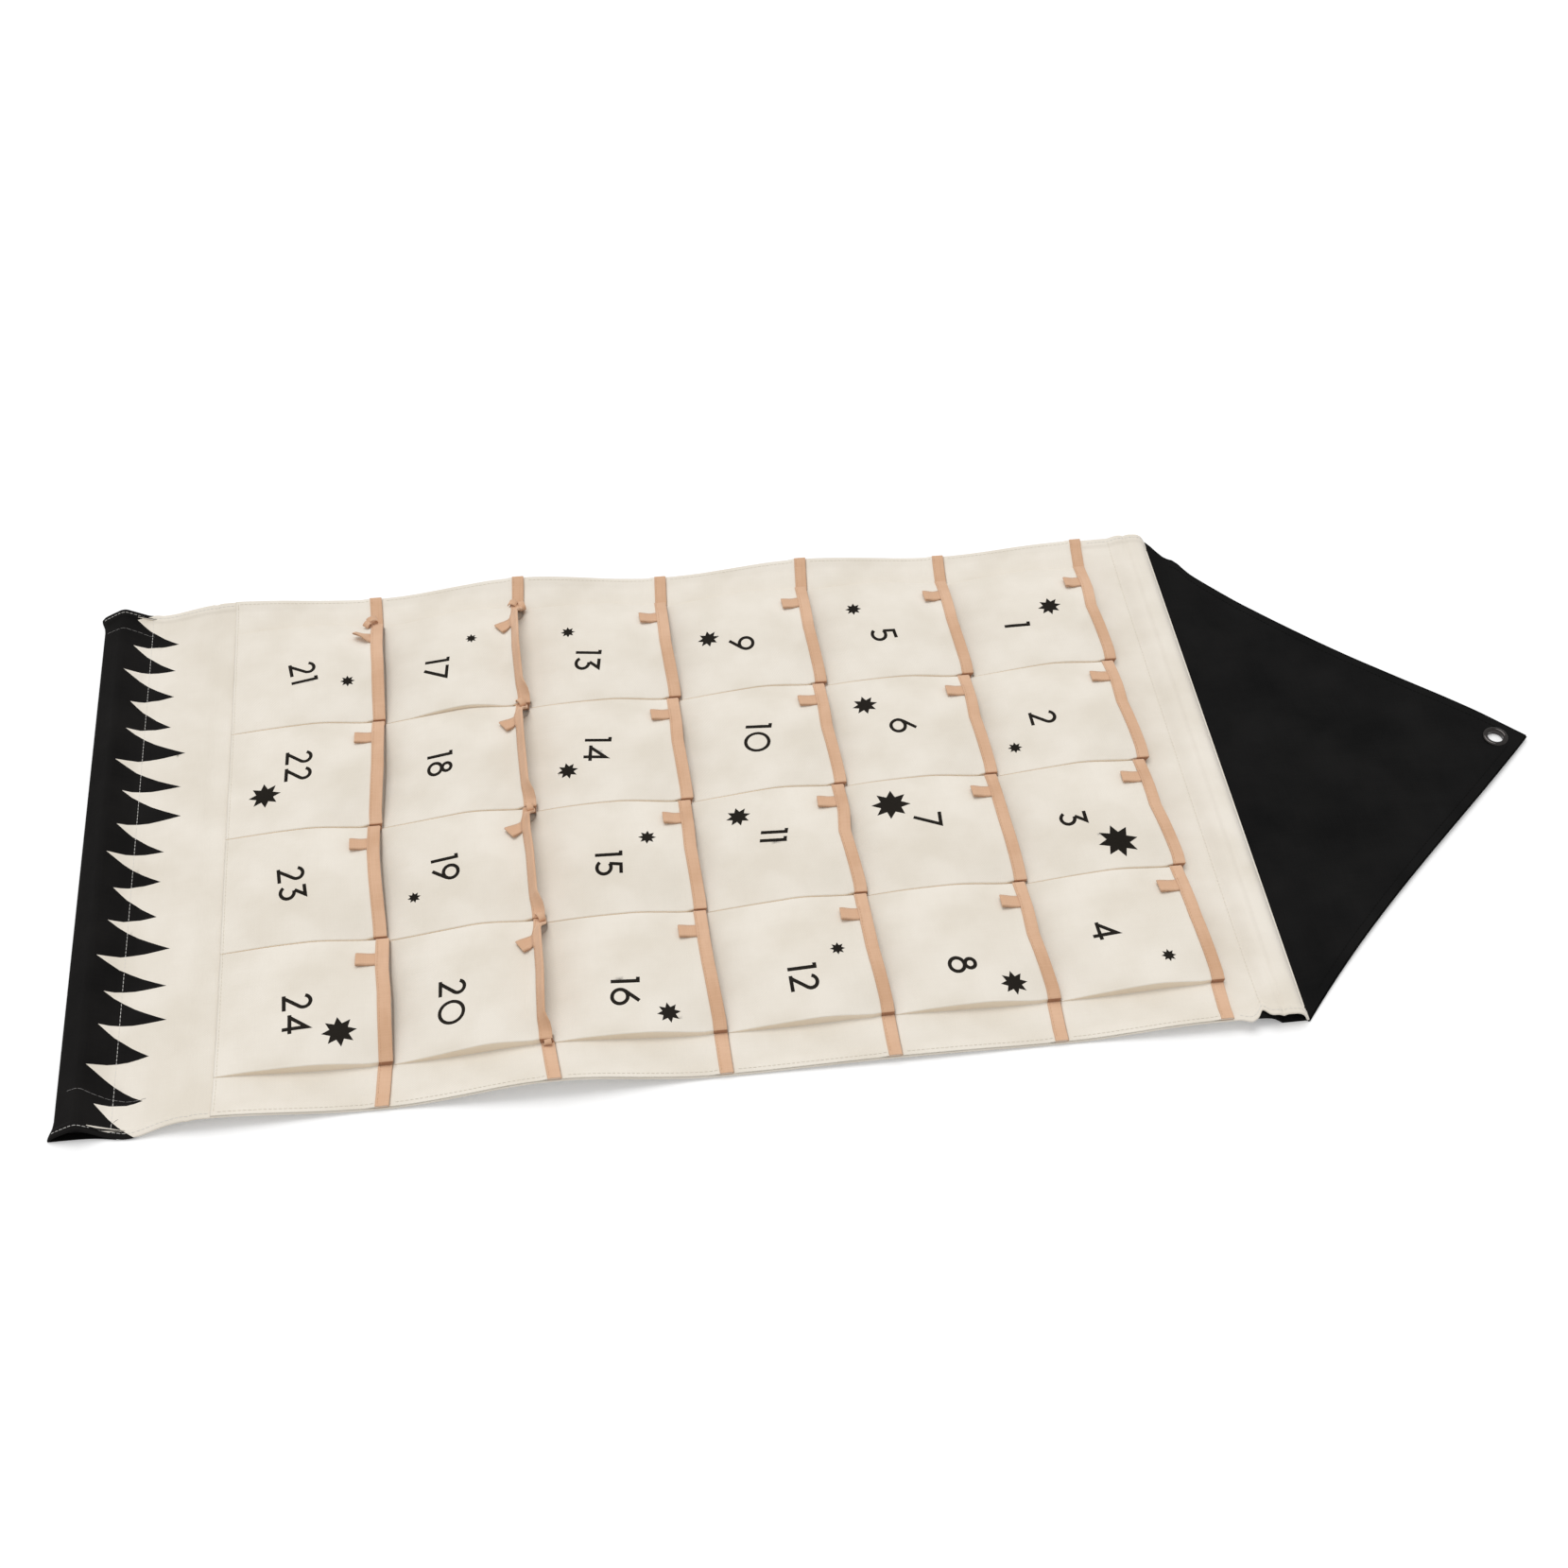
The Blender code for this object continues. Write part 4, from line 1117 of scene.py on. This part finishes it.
def metal_material():
    dark, light = (0.034, 0.031, 0.030), (0.082, 0.076, 0.073)
    material, tree, shader, noise = speckled(
        "dark_nickel_plate", dark, light, 0.15, 0.00003, Scale=900.0, Detail=4.0
    )
    ramp = add(tree, "ShaderNodeMapRange", To_Min=0.10, To_Max=0.17)
    tree.links.new(noise, ramp.inputs["Value"])
    tree.links.new(ramp.outputs[0], shader.inputs["Roughness"])
    put(shader, Metallic=1.0)
    return material


def wood_material():
    dark, light = (0.50, 0.33, 0.18), (0.74, 0.56, 0.36)
    grain = {"Scale": 1.0, "Detail": 5.0, "Distortion": 0.8}
    material, _, shader, _ = speckled("pale_dowel_wood", dark, light, 0.3, 0.0002, (14, 420, 420), **grain)
    put(shader, Roughness=0.62)
    return material


def make_stage():
    """A floor that glows a little to the camera, a white world, and one wide soft light."""
    bpy.ops.mesh.primitive_plane_add(size=14, location=(0, 0, 0))
    floor = bpy.context.object
    floor.name = "floor"
    material, tree, shader = node_material("floor_paper")
    put(shader, Base_Color=(0.86, 0.86, 0.86, 1), Roughness=0.9, Emission_Color=(1, 1, 1, 1))
    rays = tree.nodes.new("ShaderNodeLightPath").outputs
    seen = math_node(tree, "MAXIMUM", rays["Is Camera Ray"], rays["Is Glossy Ray"])
    seen = math_node(tree, "MAXIMUM", seen, rays["Is Transmission Ray"])
    tree.links.new(math_node(tree, "MULTIPLY", seen, FLOOR_GLOW), shader.inputs["Emission Strength"])
    floor.data.materials.append(material)
    world = bpy.data.worlds.new("studio")
    bpy.context.scene.world = world
    world.use_nodes = True
    background = world.node_tree.nodes["Background"]
    background.inputs[0].default_value = (1, 1, 1, 1)
    background.inputs[1].default_value = WORLD_STRENGTH
    lamp = bpy.data.lights.new("key", "SUN")
    lamp.energy = KEY_STRENGTH
    lamp.angle = math.radians(KEY_ANGLE)
    key = bpy.data.objects.new("key", lamp)
    key.rotation_euler = Vector(KEY_WAY).to_track_quat("-Z", "Y").to_euler()
    bpy.context.scene.collection.objects.link(key)


def make_camera():
    data = bpy.data.cameras.new("camera")
    data.sensor_width = 36
    data.lens = CAMERA_LENS
    camera = bpy.data.objects.new("camera", data)
    bpy.context.scene.collection.objects.link(camera)
    place = Matrix((CAMERA_RIGHT, CAMERA_UP, CAMERA_BACK)).transposed().to_4x4()
    place.translation = Vector(CAMERA_PLACE)
    camera.matrix_world = place
    bpy.context.scene.camera = camera
    bpy.context.scene.view_settings.view_transform = "Standard"


def settle(obj, body, slot, *nodes):
    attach(obj, body)
    if nodes:
        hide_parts(*nodes)
    return obj


def sewn(name, line, thread, body, slot, *sizes):
    """Stitches that ride with the cloth that they hold."""
    return settle(stitch_line(name, *line, thread, *sizes), body, slot)


def dress_panel(canvas, ink, black, white, cream, grey):
    panel = settle(make_panel(canvas, ink), "panel_body", "canvas", "back_panel")
    xs = np.linspace(-HALF + 0.004, HALF - 0.004, 400)
    for name, y, thread in (("top", TOP_STITCH_Y, cream), ("bottom", BOTTOM_STITCH_Y + 0.0025, white)):
        line = surface_line(panel_points, xs, np.full_like(xs, path_s(y)))
        sewn(f"{name}_tunnel_stitches", line, thread, "panel_body", "canvas")
    for name, places in BAND_THREADS.items():
        line = np.array(places) / 1000
        u, y = (np.interp(np.linspace(0, 1, 60), np.linspace(0, 1, len(line)), line[:, c]) for c in (0, 1))
        u = np.convolve(np.pad(u, 6, "edge"), np.full(13, 1 / 13), "valid")
        line = surface_line(panel_points, u, np.array([path_s(v) for v in y]))
        sewn(name, line, grey, "panel_body", "canvas", 0.0040, 0.0003, 0.00013)
    ends = (("top", FOLD_Y - 0.003, strip_top(1) + 0.003), ("foot", strip_bottom(6) - 0.001, BOTTOM_Y + 0.001))
    for side, where in SIDES:
        for name, top, low in ends:
            s = np.linspace(path_s(top), path_s(low), 500)
            line = surface_line(panel_points, np.full_like(s, side * (HALF - 0.0032)), s)
            sewn(f"side_stitches_{name}_{where}", line, white, "panel_body", "canvas")
    backing = settle(make_backing(black), "panel_body", "black_canvas", "top_tunnel_backing")


def dress_row(row, canvas, ink, fold, tape, shade, cream, tan):
    strip = settle(make_strip(row, canvas, ink, fold), "panel_body", "canvas", f"pocket_strip_row_{row}")
    cloth = partial(strip_points, row)
    for side, where in SIDES:
        ys = np.linspace(strip_top(row) - BINDING_WIDTH, strip_bottom(row) + 0.001, 150)
        line = surface_line(cloth, np.full_like(ys, 0.0028 if side < 0 else STARTS[-1] - 0.0028), ys)
        sewn(f"margin_stitches_{row}_{where}", line, cream, "panel_body", "canvas")
    if row == ROWS:
        q = np.linspace(0.002, STARTS[-1] - 0.002, 900)
        line = surface_line(cloth, q, np.full_like(q, strip_bottom(row) + 0.0018))
        sewn(f"foot_stitches_row_{row}", line, cream, "panel_body", "canvas")

    binding = settle(make_binding(row, tape, shade), "panel_body", "tape", f"binding_row_{row}")
    q = np.linspace(0.001, STARTS[-1] - 0.001, 1400)
    y = np.full_like(q, row_y(row) - BINDING_WIDTH / 2 + 0.0013)
    line = surface_line(lambda a, b: cloth(a, b, TAPE_GAP + TAPE + tab_bump(row, a, b)), q, y)
    seam = sewn(f"tape_stitches_row_{row}", line, tan, "panel_body", "tape", 0.0021, 0.0006, 0.00013)


def dress_tab(number, tape):
    tab, length = make_tab(number, tape)
    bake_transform(tab)
    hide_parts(f"tab_{number:02d}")


def dress_flap(black, dark, metal):
    flap = make_flap(black)
    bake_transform(flap)
    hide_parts("hanging_flap")
    shares = np.linspace(0.055, 0.93, 290)
    for side, where in SIDES:
        x = flap_edge(side, shares) - side * FLAP_HEM
        y = FOLD_Y + FLAP_HEIGHT * shares
        line = surface_line(lambda a, b: np.stack([a, b, flap_height(a, b)], -1), x, y)
        sewn(f"flap_stitches_{where}", line, dark, "flap_body", "black_canvas")
    settle(lathe("eyelet_ring", eyelet_profile(), metal), "flap_body", "eyelet_metal", "eyelet")
    settle(lathe("eyelet_back_washer", washer_profile(), metal), "flap_body", "eyelet_metal", "eyelet_washer")


def main():
    make_stage()
    make_camera()
    print_look = {"sheen": 0.0, "specular": 0.04}
    tape_look = {"pitch": 0.0005, "depth": 0.00009, "twill": True}
    canvas = weave("cream_canvas_cloth", (0.765, 0.703, 0.606), (0.842, 0.785, 0.697), 0.9, streaks=0.2)
    # Painted shade: a warmer, darker copy of the canvas for the pockets' side walls and seams, standing in for the
    # shade and warm bounce light in those folds
    fold = weave("cream_canvas_painted_fold_shade", (0.86, 0.735, 0.575), (0.91, 0.795, 0.645), 0.9, streaks=0.2)
    ink = weave("black_print", (0.0068, 0.0064, 0.0063), (0.0120, 0.0112, 0.0108), 0.8, **print_look)
    numeral_ink = weave("numeral_print", (0.014, 0.0118, 0.0092), (0.021, 0.0178, 0.0142), 0.8, **print_look)
    black = weave("black_canvas_cloth", (0.006, 0.006, 0.006), (0.0105, 0.0102, 0.010), 0.85, **print_look)
    tape = weave("tan_tape_cloth", (0.63, 0.378, 0.228), (0.775, 0.507, 0.340), 0.85, **tape_look)
    # Painted shade: a darker red-brown copy of the tape for where it crosses the pockets' walls and seams
    shade = weave("tan_tape_painted_shade", (0.36, 0.165, 0.085), (0.46, 0.230, 0.125), 0.85, **tape_look)
    white = thread_material("white_thread", (0.82, 0.80, 0.76))
    cream = thread_material("cream_thread", (0.80, 0.74, 0.62))
    grey = thread_material("grey_thread", (0.30, 0.29, 0.28))
    tan = thread_material("tan_thread", (0.62, 0.36, 0.20))
    dark = thread_material("black_thread", (0.007, 0.0068, 0.0065), sheen=0.0, specular=0.03)

    dress_panel(canvas, ink, black, white, cream, grey)
    for row in range(1, ROWS + 1):
        dress_row(row, canvas, numeral_ink, fold, tape, shade, cream, tan)
    for number in range(1, ROWS * COLUMNS + 1):
        dress_tab(number, tape)
    dress_flap(black, dark, metal_material())
    wood = wood_material()
    for name in ("top_rod", "bottom_rod"):
        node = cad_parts[name]
        node.data.materials.clear()
        node.data.materials.append(wood)


main()
